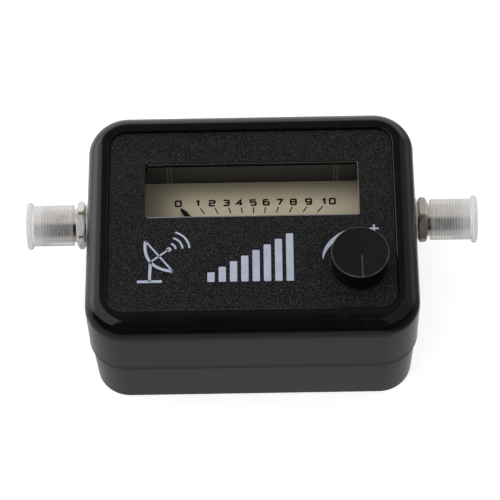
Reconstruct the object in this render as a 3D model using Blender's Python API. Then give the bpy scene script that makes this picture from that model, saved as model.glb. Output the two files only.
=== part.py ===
"""Satellite signal meter: a two-part case with a moving-coil meter, a gain knob and two coaxial sockets.

Metres, +Z up. The origin is the middle of the case's flat bottom. +X is to the right as the dial is read, and
+Y points away from the reader, from the knob's edge of the face towards the window's edge.
"""

import math

import bmesh
import bpy
from mathutils import Matrix, Vector

MM = 0.001

# Clearances and cuts
GAP = 0.3 * MM            # between pieces that rest on or in each other
STACK_GAP = 0.15 * MM     # between a panel, its washer and its nut
RUNNING_GAP = 0.1 * MM    # shaft in bush, and cap on thread
OVERRUN = 1.0 * MM        # how far a cutter runs past the face it cuts
SINK = 0.4 * MM           # how far a shape sinks into the one it is joined to

# Sides of round shapes
CORNER_STEPS = 7
FILLET_STEPS = 5
SMALL_FILLET_STEPS = 2
LARGE_SIDES = 40
ROUND_SIDES = 28
SMALL_SIDES = 12
PIN_SIDES = 8
HEX_SIDES = 6

# Case walls
CASE_WALL = 2.0 * MM
FLOOR_THICKNESS = 2.0 * MM
ROOF_THICKNESS = 1.9 * MM
CASE_CORNER_RADIUS = 11.3 * MM
RIM_WIDTH = 6.45 * MM          # from the case's left and right side to the face panel's edge
RIM_END_WIDTH = 7.0 * MM       # the same from its far and near side
RIM_INNER_RADIUS = 0.4 * MM
RIM_FLAT = 0.1 * MM            # between the rim's two rounded edges
CASE_DRAFT = 0.3 * MM          # how far the upper case leans in down to the seam
LOWER_INSET = 0.5 * MM         # how far the lower case stands back at the seam
LOWER_DRAFT = 0.6 * MM
LOWER_CORNER_STEP = 0.7 * MM   # how much tighter the lower case's corners are than the upper's
BOTTOM_EDGE_RADIUS = 0.5 * MM
SEAM_GAP = 0.3 * MM
LIP_HEIGHT = 1.6 * MM
LIP_THICKNESS = 1.2 * MM
POST_RADIUS = 3.5 * MM
POST_INSET = 8.5 * MM          # from the case's sides to a screw's axis

# Face panel and window
PANEL_THICKNESS = 0.8 * MM
PANEL_RECESS = 0.8 * MM
PANEL_CORNER_RADIUS = 4.5 * MM
WINDOW_WIDTH = 60.0 * MM
WINDOW_DEPTH = 17.8 * MM
WINDOW_CORNER_RADIUS = 0.9 * MM
WINDOW_OFFSET = 0.3 * MM       # the window sits this far right of the middle

# Circuit board and what hangs under it
BOARD_SPACE = 14.1 * MM        # between the case floor and the board, for the components
BOARD_THICKNESS = 1.6 * MM
BOARD_ABOVE_SEAM = 0.1 * MM
BOARD_EDGE_SPACE = 0.5 * MM
BOARD_POST_SPACE = 2.0 * MM
BOARD_CORNER_RADIUS = 2.0 * MM
STANDOFF_RADIUS = 2.5 * MM
STANDOFF_INSET_X = 5.5 * MM
STANDOFF_INSET_Y = 4.0 * MM
BOARD_SCREW_RADIUS = 1.0 * MM
BOARD_SCREW_HEAD_RADIUS = 1.9 * MM
BOARD_SCREW_HEAD_HEIGHT = 1.3 * MM
BOARD_SCREW_LENGTH = 6.0 * MM
PIN_RADIUS = 0.5 * MM
PIN_THROUGH = 1.5 * MM         # how far soldered pins stand out under the board
SHIELD_SIZE = (26.0 * MM, 18.0 * MM, 7.0 * MM)
SHIELD_SHARES = (-0.46, 0.28)  # a place, in shares of the board's half width and half depth
SHIELD_WALL = 0.6 * MM
BUZZER_RADIUS = 6.0 * MM
BUZZER_HEIGHT = 8.0 * MM
BUZZER_HOLE_RADIUS = 1.0 * MM
BUZZER_HOLE_DEPTH = 1.5 * MM
BUZZER_SHARES = (0.52, -0.43)
CAPACITOR_RADIUS = 2.5 * MM
CAPACITOR_HEIGHT = 7.5 * MM
CAPACITOR_EDGE = 0.5 * MM
CAPACITOR_SHARES = ((0.05, 0.57), (0.24, 0.57), (0.05, -0.67))
TRANSISTOR_RADIUS = 2.3 * MM
TRANSISTOR_HEIGHT = 4.6 * MM
TRANSISTOR_FLAT = 1.2 * MM
TRANSISTOR_SHARES = ((-0.19, -0.43), (-0.48, -0.43), (-0.64, -0.43))
INDUCTOR_RADIUS = 4.0 * MM
INDUCTOR_BAR = 1.5 * MM
INDUCTOR_SHARES = (0.67, 0.1)

# Meter tray, plate and cover
METER_WALL = 1.2 * MM
METER_FLOOR_THICKNESS = 1.7 * MM
METER_SIDE_SPACE = 0.8 * MM    # from the window's side to the tray's inner wall
METER_FRONT_SPACE = 0.45 * MM  # from the window's near edge to the tray's inner wall
BEHIND_WINDOW = 0.35 * MM      # from the window's far edge back to the tray's inner wall
PIVOT_FROM_WINDOW = 15.95 * MM
BAY_BEFORE_PIVOT = 13.2 * MM
POT_TO_BAY = 3.1 * MM
BEHIND_METER = 13.55 * MM
BEFORE_METER = 5.05 * MM
SCALE_RISE = 9.3 * MM          # from the tray's floor to the plate's face
SCALE_THICKNESS = 0.8 * MM
SCALE_POST_RADIUS = 1.6 * MM
SCALE_POST_INSET = 3.2 * MM
YOKE_POST_RADIUS = 1.2 * MM
RIB_WIDTH = 1.0 * MM
RIB_DEPTH = 0.45 * MM
RIB_INSET = 6.55 * MM          # from the tray's inner side wall to a rib's middle
COVER_THICKNESS = 1.0 * MM
COVER_RECESS = 0.3 * MM        # the clear block's top lies this far under the panel's face

# Movement
COIL_RISE = 1.5 * MM
COIL_BAR = 0.8 * MM
COIL_CLEARANCE = 0.7 * MM
COIL_DEPTH = 1.8 * MM
CORE_RADIUS = 4.6 * MM
CORE_HEIGHT = 4.8 * MM
CORE_ARM_WIDTH = 2.4 * MM
CORE_ARM_HEIGHT = 2.0 * MM
YOKE_THICKNESS = 2.3 * MM
NEEDLE_CLEARANCE = 0.9 * MM
NEEDLE_THICKNESS = 0.4 * MM
NEEDLE_WIDTH = 0.85 * MM
NEEDLE_TIP_WIDTH = 0.5 * MM
NEEDLE_LENGTH = 32.0 * MM
NEEDLE_TAIL = 6.0 * MM
NEEDLE_TAPER = 6.0 * MM
NEEDLE_HUB_RADIUS = 1.5 * MM
WEIGHT_RADIUS = 1.0 * MM
REST_ANGLE = math.radians(39.0)
STOP_RADIUS = 0.35 * MM
STAFF_RADIUS = 0.6 * MM
PIVOT_RADIUS = 0.35 * MM
PIVOT_LENGTH = 1.0 * MM
JEWEL_RADIUS = 1.3 * MM
JEWEL_HEIGHT = 3.4 * MM
JEWEL_BORE_DEPTH = 1.0 * MM
JEWEL_SLOT_WIDTH = 0.5 * MM
JEWEL_SLOT_DEPTH = 0.5 * MM
BRIDGE_THICKNESS = 1.0 * MM
BRIDGE_WIDTH = 3.0 * MM
BRIDGE_ABOVE_JEWEL = 1.0 * MM  # from the jewel screw's lower end to the bridge
JEWEL_TO_COVER = 1.3 * MM
SPRING_TURNS = 3.5
SPRING_STEPS_PER_TURN = 16
SPRING_STRIP = 0.22 * MM
SPRING_HEIGHT = 0.6 * MM
SPRING_INNER_RADIUS = 1.2 * MM
SPRING_OUTER_RADIUS = 4.2 * MM
SPRING_STUD_RADIUS = 0.5 * MM
LAMP_RADIUS = 1.6 * MM
LAMP_HEIGHT = 5.5 * MM
LAMP_INSET = 11.0 * MM         # from the window's side to a lamp
TERMINAL_HEIGHT = 3.0 * MM
TERMINAL_SHARE = 0.6           # of the way from the ring to the bay's side wall

# Gain control
KNOB_FROM_PANEL_SIDE = 9.95 * MM
KNOB_FROM_PANEL_FRONT = 12.85 * MM
KNOB_RADIUS = 7.95 * MM
KNOB_HEIGHT = 7.1 * MM
KNOB_LIFT = 0.6 * MM
KNOB_DRAFT = 0.1 * MM
KNOB_EDGE = 0.45 * MM
KNOB_SKIRT_WALL = 1.45 * MM
KNOB_ROOF = 1.0 * MM
KNOB_LINE_WIDTH = 0.4 * MM
KNOB_LINE_DEPTH = 0.2 * MM
POT_RADIUS = 8.0 * MM
POT_HEIGHT = 8.5 * MM
POT_BASE_HEIGHT = 1.2 * MM
POT_BASE_RADIUS = 6.8 * MM
POT_PIN_SPACING = 4.0 * MM
POT_PIN_FROM_AXIS = 3.5 * MM
BUSH_WALL = 0.5 * MM
BUSH_HEIGHT = 2.8 * MM         # above the face panel
SHAFT_RADIUS = 3.0 * MM
SHAFT_END_DEPTH = 3.0 * MM     # how deep the shaft reaches under the potentiometer's top
POT_WASHER_RADIUS = 5.9 * MM
POT_WASHER_THICKNESS = 0.4 * MM
POT_NUT_WIDTH = 10.0 * MM      # across flats
POT_NUT_THICKNESS = 1.7 * MM
KNOB_OVER_NUT = 0.6 * MM

# Coaxial sockets
SOCKET_OFFSET = 7.1 * MM       # behind the middle of the case
SOCKET_ABOVE_BOARD = 8.0 * MM
THREAD_RADIUS = 4.75 * MM
TIP_RADIUS = 4.3 * MM
BARREL_BORE = 3.3 * MM
BARREL_LENGTH = 18.2 * MM      # from the rear block to the tip
TIP_LENGTH = 2.2 * MM
BLOCK_SIZE = 11.0 * MM
BLOCK_LENGTH = 8.5 * MM
BLOCK_TO_WALL = 0.5 * MM
BLOCK_TO_METER = 3.0 * MM
LEG_SPREAD = 4.0 * MM
LEG_INSET = 2.0 * MM
LEG_RADIUS = 0.6 * MM
INSULATOR_LENGTH = 23.0 * MM
INSULATOR_BORE = 1.0 * MM
CONTACT_RADIUS = 0.5 * MM
CONTACT_RECESS = 1.0 * MM
LOCK_WASHER_RADIUS = 6.9 * MM
LOCK_WASHER_THICKNESS = 1.0 * MM
SOCKET_NUT_WIDTH = 12.0 * MM   # across flats
SOCKET_NUT_THICKNESS = 2.6 * MM
LEFT_NUT_TURN = math.radians(0.0)
RIGHT_NUT_TURN = math.radians(23.0)
CAP_FROM_NUT = 0.85 * MM
CAP_TIP_SPACE = 0.7 * MM       # from the barrel's tip to the cap's end wall
CAP_WALL = 0.85 * MM
CAP_CLEARANCE = 0.2 * MM
CAP_END = 1.2 * MM
CAP_FLANGE_RADIUS = 6.75 * MM
CAP_FLANGE_LENGTH = 1.5 * MM
CAP_FLANGE_EDGE = 0.35 * MM

# Case screws
SCREW_RADIUS = 1.3 * MM
SCREW_LENGTH = 22.0 * MM
SCREW_HEAD_RADIUS = 2.6 * MM
SCREW_HEAD_HEIGHT = 1.6 * MM
SCREW_RECESS = 3.1 * MM
SCREW_SLOT_WIDTH = 0.7 * MM
SCREW_SLOT_DEPTH = 0.7 * MM
SCREW_SLOT_LENGTH = 3.2 * MM

# Heights, from the bottom up
BOARD_BOTTOM = FLOOR_THICKNESS + BOARD_SPACE + GAP
BOARD_TOP = BOARD_BOTTOM + BOARD_THICKNESS
LOWER_TOP = BOARD_TOP - BOARD_ABOVE_SEAM
SEAM_TOP = LOWER_TOP + SEAM_GAP
METER_BOTTOM = BOARD_TOP + GAP
METER_FLOOR = METER_BOTTOM + METER_FLOOR_THICKNESS
COIL_BOTTOM = METER_FLOOR + COIL_RISE
CORE_BOTTOM = COIL_BOTTOM + COIL_BAR + GAP
CORE_TOP = CORE_BOTTOM + CORE_HEIGHT
COIL_TOP = CORE_TOP + GAP + COIL_BAR
SCALE_TOP = METER_FLOOR + SCALE_RISE
NEEDLE_BOTTOM = max(SCALE_TOP, COIL_TOP) + NEEDLE_CLEARANCE
NEEDLE_TOP = NEEDLE_BOTTOM + NEEDLE_THICKNESS
JEWEL_BOTTOM = NEEDLE_TOP + GAP
BRIDGE_BOTTOM = JEWEL_BOTTOM + BRIDGE_ABOVE_JEWEL
METER_TOP = JEWEL_BOTTOM + JEWEL_HEIGHT + JEWEL_TO_COVER
FLANGE_BOTTOM = METER_TOP + GAP
FLANGE_TOP = FLANGE_BOTTOM + COVER_THICKNESS
ROOF_BOTTOM = FLANGE_TOP + GAP
RECESS_FLOOR = ROOF_BOTTOM + ROOF_THICKNESS
PANEL_BOTTOM = RECESS_FLOOR + GAP
PANEL_TOP = PANEL_BOTTOM + PANEL_THICKNESS
CASE_HEIGHT = PANEL_TOP + PANEL_RECESS
SOCKET_HEIGHT = BOARD_TOP + SOCKET_ABOVE_BOARD

# Widths, from the window out
METER_INNER_X = WINDOW_WIDTH / 2 + METER_SIDE_SPACE
METER_OUTER_X = METER_INNER_X + METER_WALL
BLOCK_START = METER_OUTER_X + BLOCK_TO_METER
INNER_X = BLOCK_START + BLOCK_LENGTH + BLOCK_TO_WALL
CASE_X = INNER_X + CASE_WALL
PANEL_X = CASE_X - RIM_WIDTH
RIM_RADIUS = RIM_WIDTH - GAP - RIM_INNER_RADIUS - RIM_FLAT
KNOB_X = PANEL_X - KNOB_FROM_PANEL_SIDE
BAY_OUTER_X = KNOB_X - POT_RADIUS - POT_TO_BAY
BAY_INNER_X = BAY_OUTER_X - METER_WALL

# Depths, from the meter out
METER_LENGTH = METER_WALL + BEHIND_WINDOW + WINDOW_DEPTH + PIVOT_FROM_WINDOW + BAY_BEFORE_PIVOT
CASE_Y = (METER_LENGTH + BEHIND_METER + BEFORE_METER) / 2 + CASE_WALL
INNER_Y = CASE_Y - CASE_WALL
PANEL_Y = CASE_Y - RIM_END_WIDTH
METER_BACK = INNER_Y - BEHIND_METER
METER_INNER_BACK = METER_BACK - METER_WALL
WINDOW_BACK = METER_INNER_BACK - BEHIND_WINDOW
WINDOW_FRONT = WINDOW_BACK - WINDOW_DEPTH
WINDOW_Y = (WINDOW_BACK + WINDOW_FRONT) / 2
METER_INNER_FRONT = WINDOW_FRONT - METER_FRONT_SPACE
METER_FRONT = METER_INNER_FRONT - METER_WALL
PIVOT_Y = WINDOW_FRONT - PIVOT_FROM_WINDOW
BAY_FRONT = PIVOT_Y - BAY_BEFORE_PIVOT
KNOB_Y = -PANEL_Y + KNOB_FROM_PANEL_FRONT

# Screws and board
POST_X = CASE_X - POST_INSET
POST_Y = CASE_Y - POST_INSET
LIP_OUTER_X = INNER_X - GAP
LIP_OUTER_Y = INNER_Y - GAP
LIP_INNER_X = LIP_OUTER_X - LIP_THICKNESS
LIP_INNER_Y = LIP_OUTER_Y - LIP_THICKNESS
LIP_CORNER_RADIUS = CASE_CORNER_RADIUS - CASE_WALL - GAP - LIP_THICKNESS
BOARD_X = LIP_INNER_X - BOARD_EDGE_SPACE
BOARD_Y = POST_Y - POST_RADIUS - BOARD_POST_SPACE
STANDOFF_X = BOARD_X - STANDOFF_INSET_X
STANDOFF_Y = BOARD_Y - STANDOFF_INSET_Y

# Movement, round the pivot
COIL_INNER = CORE_RADIUS + COIL_CLEARANCE
COIL_OUTER = COIL_INNER + COIL_BAR
YOKE_INNER = COIL_OUTER + COIL_CLEARANCE
YOKE_OUTER = YOKE_INNER + YOKE_THICKNESS
YOKE_MIDDLE = (YOKE_INNER + YOKE_OUTER) / 2

# Gain control, round the knob's axis
BUSH_BORE = SHAFT_RADIUS + RUNNING_GAP
BUSH_RADIUS = BUSH_BORE + BUSH_WALL
POT_TOP = ROOF_BOTTOM - GAP
POT_BOTTOM = POT_TOP - POT_HEIGHT
POT_WASHER_BOTTOM = PANEL_TOP + GAP
POT_NUT_BOTTOM = POT_WASHER_BOTTOM + POT_WASHER_THICKNESS + GAP
POT_NUT_TOP = POT_NUT_BOTTOM + POT_NUT_THICKNESS
KNOB_BOTTOM = PANEL_TOP + KNOB_LIFT
KNOB_TOP = KNOB_BOTTOM + KNOB_HEIGHT
SHAFT_TOP = KNOB_TOP - KNOB_ROOF - GAP

# Sockets, from the middle of the case out along X
BLOCK_END = BLOCK_START + BLOCK_LENGTH
TIP_END = BLOCK_END + BARREL_LENGTH
WASHER_START = CASE_X + STACK_GAP
NUT_START = WASHER_START + LOCK_WASHER_THICKNESS + STACK_GAP
NUT_END = NUT_START + SOCKET_NUT_THICKNESS
CAP_START = NUT_END + CAP_FROM_NUT
CAP_STOP = TIP_END + CAP_TIP_SPACE + CAP_END
CAP_BORE = THREAD_RADIUS + CAP_CLEARANCE
CAP_RADIUS = CAP_BORE + CAP_WALL
CONTACT_LEG = BLOCK_START - GAP - 2 * CONTACT_RADIUS


# Mesh helpers

def object_from(name, mesh_data, parent=None, location=(0, 0, 0), rotation=(0, 0, 0)):
    """An object that holds a bmesh, placed in its parent's frame."""
    mesh = bpy.data.meshes.new(name)
    mesh_data.to_mesh(mesh)
    mesh_data.free()
    mesh.shade_smooth()
    mesh.set_sharp_from_angle(angle=math.radians(30))
    made = bpy.data.objects.new(name, mesh)
    bpy.context.scene.collection.objects.link(made)
    made.parent = parent
    made.location = location
    made.rotation_euler = rotation
    return made


def empty_at(name, location):
    """An empty that carries the pieces of one moving body on its axis."""
    made = bpy.data.objects.new(name, None)
    bpy.context.scene.collection.objects.link(made)
    made.location = location
    return made


def loft(rings, closed=False):
    """A solid whose skin runs through rings of equal length, capped at both ends unless it is closed."""
    data = bmesh.new()
    loops = [[data.verts.new(point) for point in ring] for ring in rings]
    pairs = list(zip(loops, loops[1:]))
    if closed:
        pairs.append((loops[-1], loops[0]))
    for low, high in pairs:
        for here in range(len(low)):
            after = (here + 1) % len(low)
            data.faces.new((low[here], low[after], high[after], high[here]))
    if not closed:
        data.faces.new(reversed(loops[0]))
        data.faces.new(loops[-1])
    return data


def circle(radius, height, sides, turn=0.0):
    """Points of a level circle, anticlockwise from above."""
    angles = [turn + 2 * math.pi * step / sides for step in range(sides)]
    return [Vector((radius * math.cos(angle), radius * math.sin(angle), height)) for angle in angles]


def rounded_rectangle(half_x, half_y, radius, height, middle=(0, 0), steps=CORNER_STEPS):
    """Points of a level rectangle with round corners, anticlockwise from above."""
    points = []
    for corner, (side_x, side_y) in enumerate(((1, 1), (-1, 1), (-1, -1), (1, -1))):
        centre_x = middle[0] + side_x * (half_x - radius)
        centre_y = middle[1] + side_y * (half_y - radius)
        for step in range(steps + 1):
            angle = (corner + step / steps) * math.pi / 2
            points.append(
                Vector((centre_x + radius * math.cos(angle), centre_y + radius * math.sin(angle), height))
            )
    return points


def turned(profile, sides, closed=False):
    """A solid turned about Z through (radius, height) points, from its lower end to its upper end.

    A closed profile goes up the outside and down the bore, and makes a tube.
    """
    return loft([circle(radius, height, sides) for radius, height in profile], closed)


def prism(outline, bottom, top):
    """A level outline of (x, y) points, extruded from bottom to top."""
    return loft([[Vector((x, y, height)) for x, y in outline] for height in (bottom, top)])


def block(low, high):
    """A box between two corners."""
    (x0, y0, z0), (x1, y1, z1) = low, high
    return prism(((x0, y0), (x1, y0), (x1, y1), (x0, y1)), z0, z1)


def cylinder(radius, bottom, top, sides, turn=0.0):
    """An upright cylinder about Z."""
    return loft([circle(radius, bottom, sides, turn), circle(radius, top, sides, turn)])


def hexagon_radius(across_flats):
    """From a hexagon's middle to its corner."""
    return across_flats / 2 / math.cos(math.pi / HEX_SIDES)


def moved(data, offset):
    """The same bmesh, shifted."""
    bmesh.ops.translate(data, verts=data.verts, vec=Vector(offset))
    return data


def turned_by(data, angle, axis):
    """The same bmesh, rotated about an axis through the origin."""
    bmesh.ops.rotate(data, verts=data.verts, cent=(0, 0, 0), matrix=Matrix.Rotation(angle, 3, axis))
    return data


def apply_shapes(target, shapes, operation):
    """Cut shapes out of an object, or join them to it, in the object's own frame."""
    for number, shape in enumerate(shapes):
        helper = object_from(f"{target.name}_{operation.lower()}_{number}", shape, parent=target)
        helper.hide_render = True
        helper.display_type = "WIRE"
        change = target.modifiers.new(f"{operation.lower()} {number}", "BOOLEAN")
        change.object = helper
        change.operation = operation
        change.solver = "EXACT"


def cut(target, shapes):
    """Take shapes out of an object."""
    apply_shapes(target, shapes, "DIFFERENCE")


def join(target, shapes):
    """Make shapes part of an object."""
    apply_shapes(target, shapes, "UNION")


def finish(piece, color, roughness, metallic=0.0, alpha=1.0):
    """Give a piece a material of its own."""
    material = bpy.data.materials.new(f"{piece.name}_finish")
    material.use_nodes = True
    shader = material.node_tree.nodes["Principled BSDF"]
    shader.inputs["Base Color"].default_value = (*color, 1.0)
    shader.inputs["Roughness"].default_value = roughness
    shader.inputs["Metallic"].default_value = metallic
    shader.inputs["Alpha"].default_value = alpha
    piece.data.materials.append(material)
    return piece


BLACK_GLOSS = ((0.012, 0.012, 0.013), 0.28)
BLACK_MATT = ((0.018, 0.018, 0.019), 0.55)
STEEL = ((0.55, 0.54, 0.52), 0.3, 1.0)
NICKEL = ((0.66, 0.62, 0.55), 0.25, 1.0)
BRASS = ((0.62, 0.45, 0.2), 0.3, 1.0)


# Case

def both_sides(value):
    """A value and its mirror image."""
    return (-value, value)


def four_places(x, y):
    """The four corners of a rectangle about the middle."""
    return [(side_x, side_y) for side_x in both_sides(x) for side_y in both_sides(y)]


def window_cutter(bottom, top):
    """The window's opening, through whatever lies between two heights."""
    low, high = (
        rounded_rectangle(
            WINDOW_WIDTH / 2, WINDOW_DEPTH / 2, WINDOW_CORNER_RADIUS, height, (WINDOW_OFFSET, WINDOW_Y)
        )
        for height in (bottom, top)
    )
    return loft([low, high])


def shaft_hole_cutter(bottom, top):
    """The hole for the potentiometer's bush."""
    return moved(cylinder(BUSH_RADIUS + GAP, bottom, top, ROUND_SIDES), (KNOB_X, KNOB_Y, 0))


def make_upper_case():
    """The upper shell, lofted from its cavity over the rim and into the recess, with posts and openings."""
    inner_radius = CASE_CORNER_RADIUS - CASE_WALL
    recess_x = PANEL_X + GAP
    recess_y = PANEL_Y + GAP
    recess_radius = PANEL_CORNER_RADIUS + GAP
    shoulder = CASE_HEIGHT - RIM_RADIUS

    def outer_ring(inset, height):
        return rounded_rectangle(CASE_X - inset, CASE_Y - inset, CASE_CORNER_RADIUS - inset, height)

    rings = [
        rounded_rectangle(INNER_X, INNER_Y, inner_radius, ROOF_BOTTOM),
        rounded_rectangle(INNER_X, INNER_Y, inner_radius, SEAM_TOP),
        outer_ring(CASE_DRAFT, SEAM_TOP),
    ]
    for step in range(FILLET_STEPS + 1):
        angle = math.pi / 2 * step / FILLET_STEPS
        rings.append(
            outer_ring(RIM_RADIUS * (1 - math.cos(angle)), shoulder + RIM_RADIUS * math.sin(angle))
        )
    inner_rim = (
        (RIM_INNER_RADIUS, CASE_HEIGHT),
        (0, CASE_HEIGHT - RIM_INNER_RADIUS),
        (0, RECESS_FLOOR),
    )
    for out, height in inner_rim:
        rings.append(rounded_rectangle(recess_x + out, recess_y + out, recess_radius + out, height))
    shell = object_from("upper_case", loft(rings))

    post_bottom = LOWER_TOP + SEAM_GAP
    join(
        shell,
        [
            moved(cylinder(POST_RADIUS, post_bottom, ROOF_BOTTOM + SINK, SMALL_SIDES), (x, y, 0))
            for x, y in four_places(POST_X, POST_Y)
        ],
    )
    pilot_top = SCREW_RECESS + SCREW_LENGTH + GAP
    cut(
        shell,
        [
            moved(cylinder(SCREW_RADIUS + GAP, post_bottom - OVERRUN, pilot_top, PIN_SIDES), (x, y, 0))
            for x, y in four_places(POST_X, POST_Y)
        ],
    )
    cut(
        shell,
        [
            window_cutter(ROOF_BOTTOM - OVERRUN, RECESS_FLOOR + OVERRUN),
            shaft_hole_cutter(ROOF_BOTTOM - OVERRUN, RECESS_FLOOR + OVERRUN),
        ],
    )
    holes = []
    for side in (-1, 1):
        hole = cylinder(THREAD_RADIUS + GAP, INNER_X - OVERRUN, CASE_X + OVERRUN, ROUND_SIDES)
        turned_by(hole, side * math.pi / 2, "Y")
        holes.append(moved(hole, (0, SOCKET_OFFSET, SOCKET_HEIGHT)))
    cut(shell, holes)
    return finish(shell, *BLACK_GLOSS)


def make_lower_case():
    """The lower tray with its tongue, screw tubes and board standoffs."""
    top_inset = CASE_DRAFT + LOWER_INSET
    bottom_inset = top_inset + LOWER_DRAFT
    corner_radius = CASE_CORNER_RADIUS - LOWER_CORNER_STEP

    def outer_ring(inset, height):
        return rounded_rectangle(CASE_X - inset, CASE_Y - inset, corner_radius - inset, height)

    rings = []
    for step in range(SMALL_FILLET_STEPS + 1):
        angle = math.pi / 2 * step / SMALL_FILLET_STEPS
        inset = bottom_inset + BOTTOM_EDGE_RADIUS * (1 - math.sin(angle))
        rings.append(outer_ring(inset, BOTTOM_EDGE_RADIUS * (1 - math.cos(angle))))
    rings.append(outer_ring(top_inset, LOWER_TOP))
    lip_outer_radius = LIP_CORNER_RADIUS + LIP_THICKNESS
    for height in (LOWER_TOP, LOWER_TOP + LIP_HEIGHT):
        rings.append(rounded_rectangle(LIP_OUTER_X, LIP_OUTER_Y, lip_outer_radius, height))
    for height in (LOWER_TOP + LIP_HEIGHT, FLOOR_THICKNESS):
        rings.append(rounded_rectangle(LIP_INNER_X, LIP_INNER_Y, LIP_CORNER_RADIUS, height))
    tray = object_from("lower_case", loft(rings))

    tubes = [
        moved(cylinder(POST_RADIUS, FLOOR_THICKNESS - SINK, LOWER_TOP, SMALL_SIDES), (x, y, 0))
        for x, y in four_places(POST_X, POST_Y)
    ]
    standoffs = [
        moved(cylinder(STANDOFF_RADIUS, FLOOR_THICKNESS - SINK, BOARD_BOTTOM - GAP, SMALL_SIDES), (x, y, 0))
        for x, y in four_places(STANDOFF_X, STANDOFF_Y)
    ]
    join(tray, tubes + standoffs)
    cutters = []
    for x, y in four_places(POST_X, POST_Y):
        profile = (
            (SCREW_HEAD_RADIUS + GAP, -OVERRUN),
            (SCREW_HEAD_RADIUS + GAP, SCREW_RECESS),
            (SCREW_RADIUS + GAP, SCREW_RECESS),
            (SCREW_RADIUS + GAP, LOWER_TOP + OVERRUN),
        )
        cutters.append(moved(turned(profile, SMALL_SIDES), (x, y, 0)))
    pilot_bottom = BOARD_TOP - BOARD_SCREW_LENGTH
    for x, y in four_places(STANDOFF_X, STANDOFF_Y):
        pilot = cylinder(BOARD_SCREW_RADIUS + GAP, pilot_bottom, BOARD_BOTTOM + OVERRUN, PIN_SIDES)
        cutters.append(moved(pilot, (x, y, 0)))
    cut(tray, cutters)
    return finish(tray, *BLACK_GLOSS)


def make_face_panel():
    """The textured plate in the recess."""
    rings = [
        rounded_rectangle(PANEL_X, PANEL_Y, PANEL_CORNER_RADIUS, height)
        for height in (PANEL_BOTTOM, PANEL_TOP)
    ]
    panel = object_from("face_panel", loft(rings))
    cut(
        panel,
        [
            window_cutter(PANEL_BOTTOM - OVERRUN, PANEL_TOP + OVERRUN),
            shaft_hole_cutter(PANEL_BOTTOM - OVERRUN, PANEL_TOP + OVERRUN),
        ],
    )
    return finish(panel, *BLACK_MATT)


def make_case_screws():
    """Four self-tapping screws, driven from below."""
    head_bottom = SCREW_RECESS - GAP - SCREW_HEAD_HEIGHT
    screw_top = SCREW_RECESS + SCREW_LENGTH
    profile = (
        (SCREW_HEAD_RADIUS, head_bottom),
        (SCREW_HEAD_RADIUS, SCREW_RECESS - GAP),
        (SCREW_RADIUS, SCREW_RECESS - GAP),
        (SCREW_RADIUS, screw_top - SCREW_RADIUS),
        (SCREW_RADIUS / 2, screw_top),
    )
    slot_sizes = (
        (SCREW_SLOT_LENGTH / 2, SCREW_SLOT_WIDTH / 2),
        (SCREW_SLOT_WIDTH / 2, SCREW_SLOT_LENGTH / 2),
    )
    for number, (x, y) in enumerate(four_places(POST_X, POST_Y), 1):
        screw = object_from(f"case_screw_{number}", turned(profile, SMALL_SIDES), location=(x, y, 0))
        slots = []
        for half_x, half_y in slot_sizes:
            low = (-half_x, -half_y, head_bottom - OVERRUN)
            high = (half_x, half_y, head_bottom + SCREW_SLOT_DEPTH)
            slots.append(block(low, high))
        cut(screw, slots)
        finish(screw, *STEEL)


# Meter

def tray_outline(side_x, back, shoulder, bay_x, front):
    """A T: a wide part behind the shoulder and a narrower bay in front of it."""
    return (
        (-bay_x, front),
        (bay_x, front),
        (bay_x, shoulder),
        (side_x, shoulder),
        (side_x, back),
        (-side_x, back),
        (-side_x, shoulder),
        (-bay_x, shoulder),
    )


def outer_outline():
    """The tray's outside."""
    return tray_outline(METER_OUTER_X, METER_BACK, METER_FRONT, BAY_OUTER_X, BAY_FRONT)


def lamp_places():
    """Two lamps under the plate."""
    return [(x, WINDOW_Y) for x in both_sides(WINDOW_WIDTH / 2 - LAMP_INSET)]


def terminal_places():
    """Two terminals in the bay, between the yoke and the side walls."""
    from_pivot = YOKE_OUTER + TERMINAL_SHARE * (BAY_INNER_X - YOKE_OUTER)
    return [(x, PIVOT_Y) for x in both_sides(from_pivot)]


def scale_plate_box():
    """Half width, near edge and far edge of the printed plate."""
    return METER_INNER_X - GAP, METER_INNER_FRONT + GAP, METER_INNER_BACK - GAP


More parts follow.
